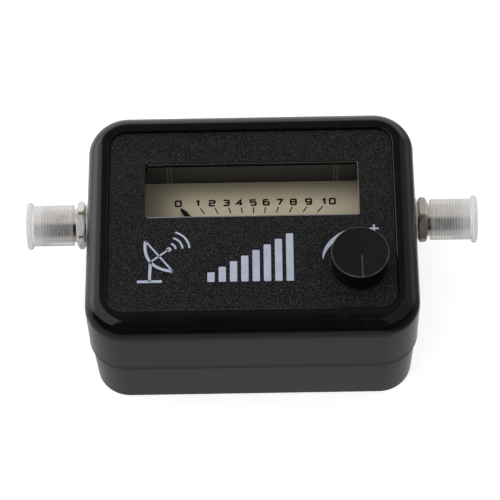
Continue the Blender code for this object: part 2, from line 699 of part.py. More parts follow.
def make_meter_base():
    """The black tray with supports for the plate and the yoke, and two ribs on its far wall."""
    tray = object_from("meter_base", prism(outer_outline(), METER_BOTTOM, METER_TOP))
    inside = tray_outline(
        METER_INNER_X, METER_INNER_BACK, METER_INNER_FRONT, BAY_INNER_X, BAY_FRONT + METER_WALL
    )
    cut(tray, [prism(inside, METER_FLOOR, METER_TOP + OVERRUN)])

    half_x, near, far = scale_plate_box()
    post_top = SCALE_TOP - SCALE_THICKNESS - GAP
    posts = [
        moved(cylinder(SCALE_POST_RADIUS, METER_FLOOR - SINK, post_top, SMALL_SIDES), (x, y, 0))
        for x in both_sides(half_x - SCALE_POST_INSET)
        for y in (near + SCALE_POST_INSET, far - SCALE_POST_INSET)
    ]
    for step in range(4):
        angle = math.pi / 4 + step * math.pi / 2
        place = (YOKE_MIDDLE * math.cos(angle), PIVOT_Y + YOKE_MIDDLE * math.sin(angle), 0)
        post = cylinder(YOKE_POST_RADIUS, METER_FLOOR - SINK, CORE_BOTTOM - GAP, PIN_SIDES)
        posts.append(moved(post, place))
    for x in both_sides(METER_INNER_X - RIB_INSET):
        low = (x - RIB_WIDTH / 2, METER_INNER_BACK - RIB_DEPTH, SCALE_TOP + GAP)
        high = (x + RIB_WIDTH / 2, METER_INNER_BACK + SINK, METER_TOP)
        posts.append(block(low, high))
    join(tray, posts)

    holes = [
        moved(cylinder(PIN_RADIUS + GAP, METER_BOTTOM - OVERRUN, METER_FLOOR + OVERRUN, PIN_SIDES), (x, y, 0))
        for x, y in lamp_places() + terminal_places()
    ]
    seat = cylinder(JEWEL_RADIUS + GAP, METER_BOTTOM - OVERRUN, METER_FLOOR + OVERRUN, SMALL_SIDES)
    holes.append(moved(seat, (0, PIVOT_Y, 0)))
    cut(tray, holes)
    return finish(tray, *BLACK_MATT)


def make_meter_cover():
    """The clear moulding: a flange on the tray and a hollow block that fills the window."""
    cover = object_from("meter_cover", prism(outer_outline(), FLANGE_BOTTOM, FLANGE_TOP))
    block_top = PANEL_TOP - COVER_RECESS
    middle = (WINDOW_OFFSET, WINDOW_Y)

    radius = WINDOW_CORNER_RADIUS - GAP

    def block_solid(inset, bottom, top):
        half_x = WINDOW_WIDTH / 2 - inset
        half_y = WINDOW_DEPTH / 2 - inset
        return loft(
            [rounded_rectangle(half_x, half_y, radius, height, middle, 2) for height in (bottom, top)]
        )

    join(cover, [block_solid(GAP, FLANGE_BOTTOM + SINK, block_top)])
    cut(cover, [block_solid(GAP + COVER_THICKNESS, FLANGE_BOTTOM - OVERRUN, block_top - COVER_THICKNESS)])
    return finish(cover, (0.9, 0.92, 0.92), 0.03, alpha=0.25)


def make_scale_plate():
    """The plate that carries the printed scale."""
    half_x, near, far = scale_plate_box()
    plate = object_from(
        "scale_plate", block((-half_x, near, SCALE_TOP - SCALE_THICKNESS), (half_x, far, SCALE_TOP))
    )
    return finish(plate, (0.62, 0.56, 0.41), 0.6)


def make_lamps():
    """Two small lamps on the tray's floor, each with one pin down to the board."""
    names = ("left_lamp", "right_lamp")
    for name, (x, y) in zip(names, lamp_places()):
        bottom = METER_FLOOR + GAP
        shoulder = bottom + LAMP_HEIGHT - LAMP_RADIUS
        profile = [
            (PIN_RADIUS, BOARD_BOTTOM - PIN_THROUGH),
            (PIN_RADIUS, bottom),
            (LAMP_RADIUS, bottom),
        ]
        for step in range(SMALL_FILLET_STEPS + 1):
            angle = math.pi / 3 * step / SMALL_FILLET_STEPS
            profile.append((LAMP_RADIUS * math.cos(angle), shoulder + LAMP_RADIUS * math.sin(angle)))
        lamp = object_from(name, turned(profile, SMALL_SIDES), location=(x, y, 0))
        finish(lamp, (0.85, 0.8, 0.65), 0.15)


def make_meter_terminals():
    """Two brass pins from the tray down through the board."""
    for name, (x, y) in zip(("left_terminal", "right_terminal"), terminal_places()):
        pin = cylinder(PIN_RADIUS, BOARD_BOTTOM - PIN_THROUGH, METER_FLOOR + TERMINAL_HEIGHT, PIN_SIDES)
        finish(object_from(name, pin, location=(x, y, 0)), *BRASS)


def make_yoke():
    """The soft iron ring."""
    profile = (
        (YOKE_OUTER, CORE_BOTTOM),
        (YOKE_OUTER, CORE_TOP),
        (YOKE_INNER, CORE_TOP),
        (YOKE_INNER, CORE_BOTTOM),
    )
    yoke = object_from("meter_yoke", turned(profile, ROUND_SIDES, closed=True), location=(0, PIVOT_Y, 0))
    return finish(yoke, (0.4, 0.4, 0.41), 0.35, 1.0)


def make_core():
    """The magnet, held in the ring by two arms that the coil never reaches."""
    core = object_from(
        "magnet_core", cylinder(CORE_RADIUS, CORE_BOTTOM, CORE_TOP, ROUND_SIDES), location=(0, PIVOT_Y, 0)
    )
    middle = (CORE_BOTTOM + CORE_TOP) / 2
    reach = YOKE_INNER - GAP
    low = (-CORE_ARM_WIDTH / 2, -reach, middle - CORE_ARM_HEIGHT / 2)
    high = (CORE_ARM_WIDTH / 2, reach, middle + CORE_ARM_HEIGHT / 2)
    join(core, [block(low, high)])
    return finish(core, (0.25, 0.25, 0.27), 0.4, 1.0)


def make_bridge():
    """The strap over the ring that holds the upper bearing."""
    low = (-YOKE_OUTER, -BRIDGE_WIDTH / 2, CORE_TOP + GAP)
    high = (YOKE_OUTER, BRIDGE_WIDTH / 2, BRIDGE_BOTTOM + BRIDGE_THICKNESS)
    bridge = object_from("meter_bridge", block(low, high), location=(0, PIVOT_Y, 0))
    inner_low = (-YOKE_INNER, -BRIDGE_WIDTH / 2 - OVERRUN, CORE_TOP - OVERRUN)
    inner_high = (YOKE_INNER, BRIDGE_WIDTH / 2 + OVERRUN, BRIDGE_BOTTOM)
    hole_top = BRIDGE_BOTTOM + BRIDGE_THICKNESS + OVERRUN
    hole = cylinder(JEWEL_RADIUS + STACK_GAP, BRIDGE_BOTTOM - OVERRUN, hole_top, SMALL_SIDES)
    cut(bridge, [block(inner_low, inner_high), hole])
    return finish(bridge, *BRASS)


def jewel_screw(name, bore_end, sign, length):
    """A bearing screw: a blind bore at its inner end and a slot at the other."""
    outer_end = bore_end + sign * length
    bottom, top = sorted((bore_end, outer_end))
    screw = object_from(name, cylinder(JEWEL_RADIUS, bottom, top, SMALL_SIDES), location=(0, PIVOT_Y, 0))
    bore_low, bore_high = sorted((bore_end - sign * OVERRUN, bore_end + sign * JEWEL_BORE_DEPTH))
    bore = cylinder(PIVOT_RADIUS + GAP, bore_low, bore_high, PIN_SIDES)
    slot_low, slot_high = sorted((outer_end - sign * JEWEL_SLOT_DEPTH, outer_end + sign * OVERRUN))
    slot = block(
        (-JEWEL_RADIUS - OVERRUN, -JEWEL_SLOT_WIDTH / 2, slot_low),
        (JEWEL_RADIUS + OVERRUN, JEWEL_SLOT_WIDTH / 2, slot_high),
    )
    cut(screw, [bore, slot])
    return finish(screw, *BRASS)


def make_needle_stops():
    """Two pins on the ring, just outside the needle's swing."""
    clearance = math.asin((NEEDLE_WIDTH / 2 + STOP_RADIUS + GAP) / YOKE_MIDDLE)
    for name, side in (("right_stop", -1), ("left_stop", 1)):
        angle = math.pi / 2 + side * (REST_ANGLE + clearance)
        place = (YOKE_MIDDLE * math.cos(angle), PIVOT_Y + YOKE_MIDDLE * math.sin(angle), 0)
        pin = cylinder(STOP_RADIUS, CORE_TOP + GAP, NEEDLE_TOP + GAP, PIN_SIDES)
        finish(object_from(name, pin, location=place), *BRASS)


def make_hairspring():
    """A flat spiral under the bridge, from a collet clear of the staff out to a stud."""
    middle = (COIL_TOP + NEEDLE_BOTTOM) / 2
    steps = int(SPRING_TURNS * SPRING_STEPS_PER_TURN)
    rings = []
    for step in range(steps + 1):
        share = step / steps
        angle = 2 * math.pi * SPRING_TURNS * share
        radius = SPRING_INNER_RADIUS + (SPRING_OUTER_RADIUS - SPRING_INNER_RADIUS) * share
        direction = Vector((math.cos(angle), math.sin(angle), 0))
        inner = direction * (radius - SPRING_STRIP / 2)
        outer = direction * (radius + SPRING_STRIP / 2)
        low = Vector((0, 0, middle - SPRING_HEIGHT / 2))
        high = Vector((0, 0, middle + SPRING_HEIGHT / 2))
        rings.append([outer + low, inner + low, inner + high, outer + high])
    spring = object_from("hairspring", loft(rings), location=(0, PIVOT_Y, 0))
    end = SPRING_OUTER_RADIUS * Vector((math.cos(angle), math.sin(angle), 0))
    stud = cylinder(SPRING_STUD_RADIUS, middle - SPRING_HEIGHT / 2, BRIDGE_BOTTOM - GAP, PIN_SIDES)
    join(spring, [moved(stud, end)])
    return finish(spring, *BRASS)


def make_moving_parts(axis):
    """The coil, its staff and the needle, at rest against the zero stop."""
    coil_low = (-COIL_OUTER, -COIL_DEPTH / 2, COIL_BOTTOM)
    coil_high = (COIL_OUTER, COIL_DEPTH / 2, COIL_TOP)
    coil = object_from("moving_coil", block(coil_low, coil_high), parent=axis, rotation=(0, 0, REST_ANGLE))
    inner_low = (-COIL_INNER, -COIL_DEPTH / 2 - OVERRUN, COIL_BOTTOM + COIL_BAR)
    inner_high = (COIL_INNER, COIL_DEPTH / 2 + OVERRUN, COIL_TOP - COIL_BAR)
    cut(coil, [block(inner_low, inner_high)])
    finish(coil, (0.45, 0.2, 0.08), 0.4, 0.6)

    pivot_tip = JEWEL_BOTTOM + PIVOT_LENGTH - GAP
    upper = (
        (STAFF_RADIUS, COIL_TOP + STACK_GAP),
        (STAFF_RADIUS, NEEDLE_TOP),
        (PIVOT_RADIUS, NEEDLE_TOP),
        (PIVOT_RADIUS, pivot_tip),
    )
    lower = (
        (PIVOT_RADIUS, METER_FLOOR + GAP),
        (PIVOT_RADIUS, COIL_BOTTOM - STACK_GAP - STACK_GAP),
        (STAFF_RADIUS, COIL_BOTTOM - STACK_GAP - STACK_GAP),
        (STAFF_RADIUS, COIL_BOTTOM - STACK_GAP),
    )
    for name, profile in (("upper_staff", upper), ("lower_staff", lower)):
        finish(object_from(name, turned(profile, PIN_SIDES), parent=axis), *STEEL)

    outline = (
        (-NEEDLE_WIDTH / 2, -NEEDLE_TAIL),
        (NEEDLE_WIDTH / 2, -NEEDLE_TAIL),
        (NEEDLE_WIDTH / 2, NEEDLE_LENGTH - NEEDLE_TAPER),
        (NEEDLE_TIP_WIDTH / 2, NEEDLE_LENGTH),
        (-NEEDLE_TIP_WIDTH / 2, NEEDLE_LENGTH),
        (-NEEDLE_WIDTH / 2, NEEDLE_LENGTH - NEEDLE_TAPER),
    )
    needle = object_from(
        "needle", prism(outline, NEEDLE_BOTTOM, NEEDLE_TOP), parent=axis, rotation=(0, 0, REST_ANGLE)
    )
    hub = cylinder(NEEDLE_HUB_RADIUS, NEEDLE_BOTTOM, NEEDLE_TOP, SMALL_SIDES)
    weight = moved(
        cylinder(WEIGHT_RADIUS, NEEDLE_BOTTOM, NEEDLE_TOP, SMALL_SIDES), (0, WEIGHT_RADIUS - NEEDLE_TAIL, 0)
    )
    join(needle, [hub, weight])
    bore = cylinder(STAFF_RADIUS + STACK_GAP, NEEDLE_BOTTOM - OVERRUN, NEEDLE_TOP + OVERRUN, PIN_SIDES)
    cut(needle, [bore])
    return finish(needle, (0.01, 0.01, 0.01), 0.4)


# Gain control

def pot_pin_places():
    """Three pins in a row, in front of the shaft."""
    return [(KNOB_X + step * POT_PIN_SPACING, KNOB_Y - POT_PIN_FROM_AXIS) for step in (-1, 0, 1)]


def make_potentiometer():
    """The body under the roof, its threaded bush through the face, and three pins to the board."""
    shaft_end = POT_TOP - SHAFT_END_DEPTH - GAP
    profile = (
        (POT_BASE_RADIUS, POT_BOTTOM),
        (POT_BASE_RADIUS, POT_BOTTOM + POT_BASE_HEIGHT),
        (POT_RADIUS, POT_BOTTOM + POT_BASE_HEIGHT),
        (POT_RADIUS, POT_TOP),
        (BUSH_RADIUS, POT_TOP),
        (BUSH_RADIUS, PANEL_TOP + BUSH_HEIGHT),
        (BUSH_BORE, PANEL_TOP + BUSH_HEIGHT),
        (BUSH_BORE, shaft_end),
    )
    body = object_from("potentiometer", turned(profile, ROUND_SIDES), location=(KNOB_X, KNOB_Y, 0))
    pins = [
        moved(
            cylinder(PIN_RADIUS, BOARD_BOTTOM - PIN_THROUGH, POT_BOTTOM + SINK, PIN_SIDES),
            (x - KNOB_X, y - KNOB_Y, 0),
        )
        for x, y in pot_pin_places()
    ]
    join(body, pins)
    return finish(body, *STEEL)


def make_pot_hardware():
    """The washer and the hexagon nut that clamp the potentiometer to the face."""
    bore = BUSH_RADIUS + STACK_GAP
    washer_top = POT_WASHER_BOTTOM + POT_WASHER_THICKNESS
    profile = (
        (POT_WASHER_RADIUS, POT_WASHER_BOTTOM),
        (POT_WASHER_RADIUS, washer_top),
        (bore, washer_top),
        (bore, POT_WASHER_BOTTOM),
    )
    place = (KNOB_X, KNOB_Y, 0)
    washer = object_from("pot_washer", turned(profile, ROUND_SIDES, closed=True), location=place)
    finish(washer, *STEEL)
    corner = hexagon_radius(POT_NUT_WIDTH)
    nut = object_from("pot_nut", cylinder(corner, POT_NUT_BOTTOM, POT_NUT_TOP, HEX_SIDES), location=place)
    cut(nut, [cylinder(bore, POT_NUT_BOTTOM - OVERRUN, POT_NUT_TOP + OVERRUN, ROUND_SIDES)])
    finish(nut, *STEEL)


def make_knob(axis):
    """The knob and the shaft it is pressed on, with the pointer line at the low end of its travel."""
    hub_bore = SHAFT_RADIUS + GAP
    cavity = KNOB_RADIUS - KNOB_SKIRT_WALL
    cavity_top = POT_NUT_TOP + KNOB_OVER_NUT
    profile = (
        (KNOB_RADIUS, KNOB_BOTTOM),
        (KNOB_RADIUS - KNOB_DRAFT, KNOB_TOP - KNOB_EDGE),
        (KNOB_RADIUS - KNOB_DRAFT - KNOB_EDGE, KNOB_TOP),
        (hub_bore, KNOB_TOP),
    )
    knob = object_from("knob", turned(profile, LARGE_SIDES), parent=axis)
    line_bottom = KNOB_TOP - KNOB_LINE_DEPTH
    line_low = (-KNOB_LINE_WIDTH / 2, -KNOB_RADIUS - OVERRUN, line_bottom)
    line_high = (KNOB_LINE_WIDTH / 2, 0, KNOB_TOP + OVERRUN)
    cut(
        knob,
        [
            cylinder(cavity, KNOB_BOTTOM - OVERRUN, cavity_top, ROUND_SIDES),
            cylinder(hub_bore, KNOB_BOTTOM - OVERRUN, KNOB_TOP - KNOB_ROOF, ROUND_SIDES),
            block(line_low, line_high),
        ],
    )
    finish(knob, (0.013, 0.013, 0.014), 0.35)
    shaft = object_from(
        "pot_shaft", cylinder(SHAFT_RADIUS, POT_TOP - SHAFT_END_DEPTH, SHAFT_TOP, ROUND_SIDES), parent=axis
    )
    return finish(shaft, *STEEL)


# Coaxial sockets

def socket_rotation(side):
    """Turns a piece made along +Z so that it points out of the case, to -X or +X."""
    return (0, side * math.pi / 2, 0)


def socket_pin_places():
    """The legs and the contact of both sockets, where they pass the board."""
    places = []
    for side in (-1, 1):
        for along in (BLOCK_START + LEG_INSET, BLOCK_END - LEG_INSET):
            for across in both_sides(LEG_SPREAD):
                places.append((side * along, SOCKET_OFFSET + across))
        places.append((side * CONTACT_LEG, SOCKET_OFFSET))
    return places


def make_socket(name, side, nut_turn):
    """One coaxial socket with the washer and the nut that hold it, made along +Z and turned to its side."""
    place = (0, SOCKET_OFFSET, SOCKET_HEIGHT)
    rotation = socket_rotation(side)

    barrel = (
        (THREAD_RADIUS, BLOCK_END - SINK),
        (THREAD_RADIUS, TIP_END - TIP_LENGTH),
        (TIP_RADIUS, TIP_END - TIP_LENGTH + THREAD_RADIUS - TIP_RADIUS),
        (TIP_RADIUS, TIP_END),
    )
    half = BLOCK_SIZE / 2
    body = object_from(
        f"{name}_connector",
        block((-half, -half, BLOCK_START), (half, half, BLOCK_END)),
        location=place,
        rotation=rotation,
    )
    leg_end = SOCKET_HEIGHT - BOARD_BOTTOM + PIN_THROUGH
    legs = []
    for along in (BLOCK_START + LEG_INSET, BLOCK_END - LEG_INSET):
        for across in both_sides(LEG_SPREAD):
            leg = cylinder(LEG_RADIUS, half - SINK, leg_end, PIN_SIDES)
            turned_by(leg, side * math.pi / 2, "Y")
            legs.append(moved(leg, (0, across, along)))
    join(body, [turned(barrel, ROUND_SIDES)] + legs)
    cut(body, [cylinder(BARREL_BORE, BLOCK_START - OVERRUN, TIP_END + OVERRUN, SMALL_SIDES)])
    finish(body, *NICKEL)

    insulator_end = TIP_END - GAP
    insulator_start = insulator_end - INSULATOR_LENGTH
    profile = (
        (BARREL_BORE - GAP, insulator_start),
        (BARREL_BORE - GAP, insulator_end),
        (INSULATOR_BORE, insulator_end),
        (INSULATOR_BORE, insulator_start),
    )
    insulator = object_from(
        f"{name}_insulator", turned(profile, SMALL_SIDES, closed=True), location=place, rotation=rotation
    )
    finish(insulator, (0.85, 0.85, 0.82), 0.4)

    contact = object_from(
        f"{name}_contact",
        cylinder(CONTACT_RADIUS, CONTACT_LEG - CONTACT_RADIUS / 2, TIP_END - CONTACT_RECESS, PIN_SIDES),
        location=place,
        rotation=rotation,
    )
    elbow = CONTACT_RADIUS + STACK_GAP
    leg = cylinder(CONTACT_RADIUS, -elbow, leg_end, PIN_SIDES, turn=math.pi / PIN_SIDES)
    turned_by(leg, side * math.pi / 2, "Y")
    join(contact, [moved(leg, (0, 0, CONTACT_LEG))])
    finish(contact, *BRASS)

    bore = THREAD_RADIUS + STACK_GAP
    washer_end = WASHER_START + LOCK_WASHER_THICKNESS
    profile = (
        (LOCK_WASHER_RADIUS, WASHER_START),
        (LOCK_WASHER_RADIUS, washer_end),
        (bore, washer_end),
        (bore, WASHER_START),
    )
    washer = object_from(
        f"{name}_lock_washer", turned(profile, ROUND_SIDES, closed=True), location=place, rotation=rotation
    )
    finish(washer, *STEEL)

    corner = hexagon_radius(SOCKET_NUT_WIDTH)
    nut = object_from(
        f"{name}_hex_nut",
        cylinder(corner, NUT_START, NUT_END, HEX_SIDES, turn=nut_turn),
        location=place,
        rotation=rotation,
    )
    cut(nut, [cylinder(bore, NUT_START - OVERRUN, NUT_END + OVERRUN, ROUND_SIDES)])
    finish(nut, *NICKEL)


def make_dust_cap(name, side):
    """A pull-off cap over the thread, with a flange round its closed end."""
    axis = empty_at(f"{name}_axis", (0, SOCKET_OFFSET, SOCKET_HEIGHT))
    flange_start = CAP_STOP - CAP_FLANGE_LENGTH
    profile = (
        (CAP_BORE, CAP_STOP - CAP_END),
        (CAP_BORE, CAP_START),
        (CAP_RADIUS, CAP_START),
        (CAP_RADIUS, flange_start - CAP_FLANGE_EDGE),
        (CAP_FLANGE_RADIUS - CAP_FLANGE_EDGE, flange_start),
        (CAP_FLANGE_RADIUS, flange_start + CAP_FLANGE_EDGE),
        (CAP_FLANGE_RADIUS, CAP_STOP - CAP_FLANGE_EDGE),
        (CAP_FLANGE_RADIUS - CAP_FLANGE_EDGE, CAP_STOP),
    )
    cap = object_from(name, turned(profile, ROUND_SIDES), parent=axis, rotation=socket_rotation(side))
    return finish(cap, (0.82, 0.81, 0.79), 0.35, alpha=0.6)


# Electronics

def make_circuit_board():
    """The board on its standoffs, with a hole for every pin that passes it."""
    rings = [
        rounded_rectangle(BOARD_X, BOARD_Y, BOARD_CORNER_RADIUS, height, steps=3)
        for height in (BOARD_BOTTOM, BOARD_TOP)
    ]
    board = object_from("circuit_board", loft(rings))
    holes = []
    places = lamp_places() + terminal_places() + pot_pin_places() + socket_pin_places()
    for x, y in places:
        hole = cylinder(LEG_RADIUS + GAP, BOARD_BOTTOM - OVERRUN, BOARD_TOP + OVERRUN, PIN_SIDES)
        holes.append(moved(hole, (x, y, 0)))
    for x, y in four_places(STANDOFF_X, STANDOFF_Y):
        hole = cylinder(BOARD_SCREW_RADIUS + GAP, BOARD_BOTTOM - OVERRUN, BOARD_TOP + OVERRUN, PIN_SIDES)
        holes.append(moved(hole, (x, y, 0)))
    cut(board, holes)
    return finish(board, (0.05, 0.22, 0.08), 0.4)


def make_board_screws():
    """Four small screws through the board into its standoffs."""
    head_bottom = BOARD_TOP + GAP
    profile = (
        (BOARD_SCREW_RADIUS, head_bottom - BOARD_SCREW_LENGTH),
        (BOARD_SCREW_RADIUS, head_bottom),
        (BOARD_SCREW_HEAD_RADIUS, head_bottom),
        (BOARD_SCREW_HEAD_RADIUS, head_bottom + BOARD_SCREW_HEAD_HEIGHT),
    )
    for number, (x, y) in enumerate(four_places(STANDOFF_X, STANDOFF_Y), 1):
        finish(object_from(f"board_screw_{number}", turned(profile, PIN_SIDES), location=(x, y, 0)), *STEEL)


def under_board(shares):
    """A component's place under the board."""
    share_x, share_y = shares
    return (share_x * BOARD_X, share_y * BOARD_Y, BOARD_BOTTOM - GAP)


def make_components():
    """The larger components, which hang under the board."""
    size_x, size_y, size_z = SHIELD_SIZE
    outside = block((-size_x / 2, -size_y / 2, -size_z), (size_x / 2, size_y / 2, 0))
    shield = object_from("shield_can", outside, location=under_board(SHIELD_SHARES))
    inside_low = (SHIELD_WALL - size_x / 2, SHIELD_WALL - size_y / 2, SHIELD_WALL - size_z)
    inside_high = (size_x / 2 - SHIELD_WALL, size_y / 2 - SHIELD_WALL, OVERRUN)
    cut(shield, [block(inside_low, inside_high)])
    finish(shield, *STEEL)

    buzzer = object_from(
        "buzzer", cylinder(BUZZER_RADIUS, -BUZZER_HEIGHT, 0, ROUND_SIDES), location=under_board(BUZZER_SHARES)
    )
    hole_top = BUZZER_HOLE_DEPTH - BUZZER_HEIGHT
    cut(buzzer, [cylinder(BUZZER_HOLE_RADIUS, -BUZZER_HEIGHT - OVERRUN, hole_top, PIN_SIDES)])
    finish(buzzer, *BLACK_MATT)

    can = (
        (CAPACITOR_RADIUS - CAPACITOR_EDGE, -CAPACITOR_HEIGHT),
        (CAPACITOR_RADIUS, CAPACITOR_EDGE - CAPACITOR_HEIGHT),
        (CAPACITOR_RADIUS, 0),
    )
    for number, shares in enumerate(CAPACITOR_SHARES, 1):
        place = under_board(shares)
        capacitor = object_from(f"capacitor_{number}", turned(can, SMALL_SIDES), location=place)
        finish(capacitor, (0.03, 0.05, 0.12), 0.35)

    flat_end = math.asin(TRANSISTOR_FLAT / TRANSISTOR_RADIUS)
    sweep = math.pi + 2 * flat_end
    angles = [flat_end - sweep * step / SMALL_SIDES for step in range(SMALL_SIDES, -1, -1)]
    outline = [(TRANSISTOR_RADIUS * math.cos(angle), TRANSISTOR_RADIUS * math.sin(angle)) for angle in angles]
    for number, shares in enumerate(TRANSISTOR_SHARES, 1):
        body = prism(outline, -TRANSISTOR_HEIGHT, 0)
        finish(object_from(f"transistor_{number}", body, location=under_board(shares)), *BLACK_MATT)

    rings = []
    for step in range(SMALL_SIDES):
        angle = 2 * math.pi * step / SMALL_SIDES
        section = circle(INDUCTOR_BAR, 0, PIN_SIDES)
        rings.append(
            [
                Vector(
                    (
                        (INDUCTOR_RADIUS - point.x) * math.cos(angle),
                        (INDUCTOR_RADIUS - point.x) * math.sin(angle),
                        point.y - INDUCTOR_BAR,
                    )
                )
                for point in section
            ]
        )
    inductor = object_from("inductor", loft(rings, closed=True), location=under_board(INDUCTOR_SHARES))
    finish(inductor, (0.35, 0.14, 0.05), 0.4)


def main():
    """Clear the scene and make every piece."""
    for old in list(bpy.data.objects):
        bpy.data.objects.remove(old)

    make_upper_case()
    make_lower_case()
    make_face_panel()
    make_case_screws()

    make_meter_base()
    make_meter_cover()
    make_scale_plate()
    make_lamps()
    make_meter_terminals()
    make_yoke()
    make_core()
    make_bridge()
    jewel_screw("upper_jewel_screw", JEWEL_BOTTOM, 1, JEWEL_HEIGHT)
    jewel_screw("lower_jewel_screw", METER_FLOOR + PIVOT_LENGTH, -1, JEWEL_BORE_DEPTH + METER_FLOOR_THICKNESS)
    make_needle_stops()
    make_hairspring()
    make_moving_parts(empty_at("needle_axis", (0, PIVOT_Y, 0)))

    make_potentiometer()
    make_pot_hardware()
    make_knob(empty_at("knob_axis", (KNOB_X, KNOB_Y, 0)))

    make_socket("left", -1, LEFT_NUT_TURN)
    make_socket("right", 1, RIGHT_NUT_TURN)
    make_dust_cap("left_dust_cap", -1)
    make_dust_cap("right_dust_cap", 1)

    make_circuit_board()
    make_board_screws()
    make_components()


if __name__ == "__main__":
    main()
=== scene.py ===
"""Looks of a satellite signal meter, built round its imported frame.

Metres, +Z up, in the frame's own axes: the origin is the middle of the case's flat bottom, +X runs to the
right as the dial is read, and +Y from the knob's edge of the face to the window's edge. Each sub-assembly is
a class that builds its meshes, dresses them and lets them ride on their bodies.
"""

from __future__ import annotations

import logging
import math
from dataclasses import dataclass
from enum import Enum, IntEnum
from typing import Iterable, Iterator, Sequence, Union

import bmesh
import bpy
from mathutils import Matrix, Vector

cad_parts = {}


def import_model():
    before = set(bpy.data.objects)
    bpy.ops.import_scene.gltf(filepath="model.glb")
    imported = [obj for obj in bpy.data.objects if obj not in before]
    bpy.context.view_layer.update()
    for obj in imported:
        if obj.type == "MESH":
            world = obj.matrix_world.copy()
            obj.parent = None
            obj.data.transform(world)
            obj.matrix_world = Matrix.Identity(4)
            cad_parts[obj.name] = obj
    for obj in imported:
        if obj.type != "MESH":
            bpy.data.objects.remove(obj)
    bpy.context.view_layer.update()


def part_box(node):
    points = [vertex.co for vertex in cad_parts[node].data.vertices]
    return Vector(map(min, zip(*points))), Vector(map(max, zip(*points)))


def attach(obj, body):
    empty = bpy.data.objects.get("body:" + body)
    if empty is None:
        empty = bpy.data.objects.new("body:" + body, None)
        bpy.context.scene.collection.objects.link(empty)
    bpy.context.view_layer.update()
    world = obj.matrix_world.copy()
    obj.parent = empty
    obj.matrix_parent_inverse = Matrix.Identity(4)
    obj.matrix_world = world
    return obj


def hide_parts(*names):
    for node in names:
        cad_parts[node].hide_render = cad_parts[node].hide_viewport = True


MM = 0.001
LOG = logging.getLogger("signal_meter")

Color = tuple[float, float, float]
Point = tuple[float, float]
Ring = list[Vector]
Socket = Union[float, Sequence[float], "Wire"]

BLACK: Color = (0.0, 0.0, 0.0)
WHITE: Color = (1.0, 1.0, 1.0)
CORNERS = ((1, 1), (-1, 1), (-1, -1), (1, -1))
SCREWS = range(1, 5)
UPRIGHT, LEVEL = 0.2, 0.95  # the height of a face's normal, below and above which it counts as such


class Side(Enum):
    """The two ends of the case, as the sign of X."""

    LEFT = -1
    RIGHT = 1

    @property
    def word(self) -> str:
        """The side's name, as the frame's nodes use it."""
        return self.name.lower()


class Body(Enum):
    """The frame's moving bodies."""

    CASE = "case"
    KNOB = "knob"
    NEEDLE = "needle"
    LEFT_CAP = "left_cap"
    RIGHT_CAP = "right_cap"


class Cutting(Enum):
    """What a Boolean does."""

    TAKE = "DIFFERENCE"
    ADD = "UNION"
    KEEP = "INTERSECT"


class Sides(IntEnum):
    """How many sides the round shapes have."""

    NUT = 96
    OPENING = 64
    HOLE = 48
    SCREW = 40
    POST = 32
    PILOT = 24
    PIN = 16


# Shader graph


class Wire:
    """An output socket that takes part in sums: each operator adds a Math node."""

    def __init__(self, graph: "Graph", socket: bpy.types.NodeSocket) -> None:
        self.graph = graph
        self.socket = socket

    def _math(self, operation: str, first: Socket, second: Socket) -> "Wire":
        """One Math node."""
        return self.graph.node("ShaderNodeMath", {"operation": operation}, {0: first, 1: second})

    def __add__(self, other: Socket) -> "Wire":
        """The sum."""
        return self._math("ADD", self, other)

    __radd__ = __add__

    def __sub__(self, other: Socket) -> "Wire":
        """The difference."""
        return self._math("SUBTRACT", self, other)

    def __rsub__(self, other: Socket) -> "Wire":
        """The difference, from the right."""
        return self._math("SUBTRACT", other, self)

    def __mul__(self, other: Socket) -> "Wire":
        """The product."""
        return self._math("MULTIPLY", self, other)

    __rmul__ = __mul__

    def __abs__(self) -> "Wire":
        """The size without its sign."""
        return self._math("ABSOLUTE", self, 0.0)

    def rise(self, start: float, end: float) -> "Wire":
        """A soft step.

        Args:
            start: The value at which the result is 0.
            end: The value at which the result is 1. It may be lower than start.

        Returns:
            A mask from 0 to 1.
        """
        sockets = {"Value": self, "From Min": start, "From Max": end}
        return self.graph.node("ShaderNodeMapRange", {"interpolation_type": "SMOOTHSTEP"}, sockets)

    def output(self, name: str) -> "Wire":
        """Another output of the same node."""
        return Wire(self.graph, self.socket.node.outputs[name])


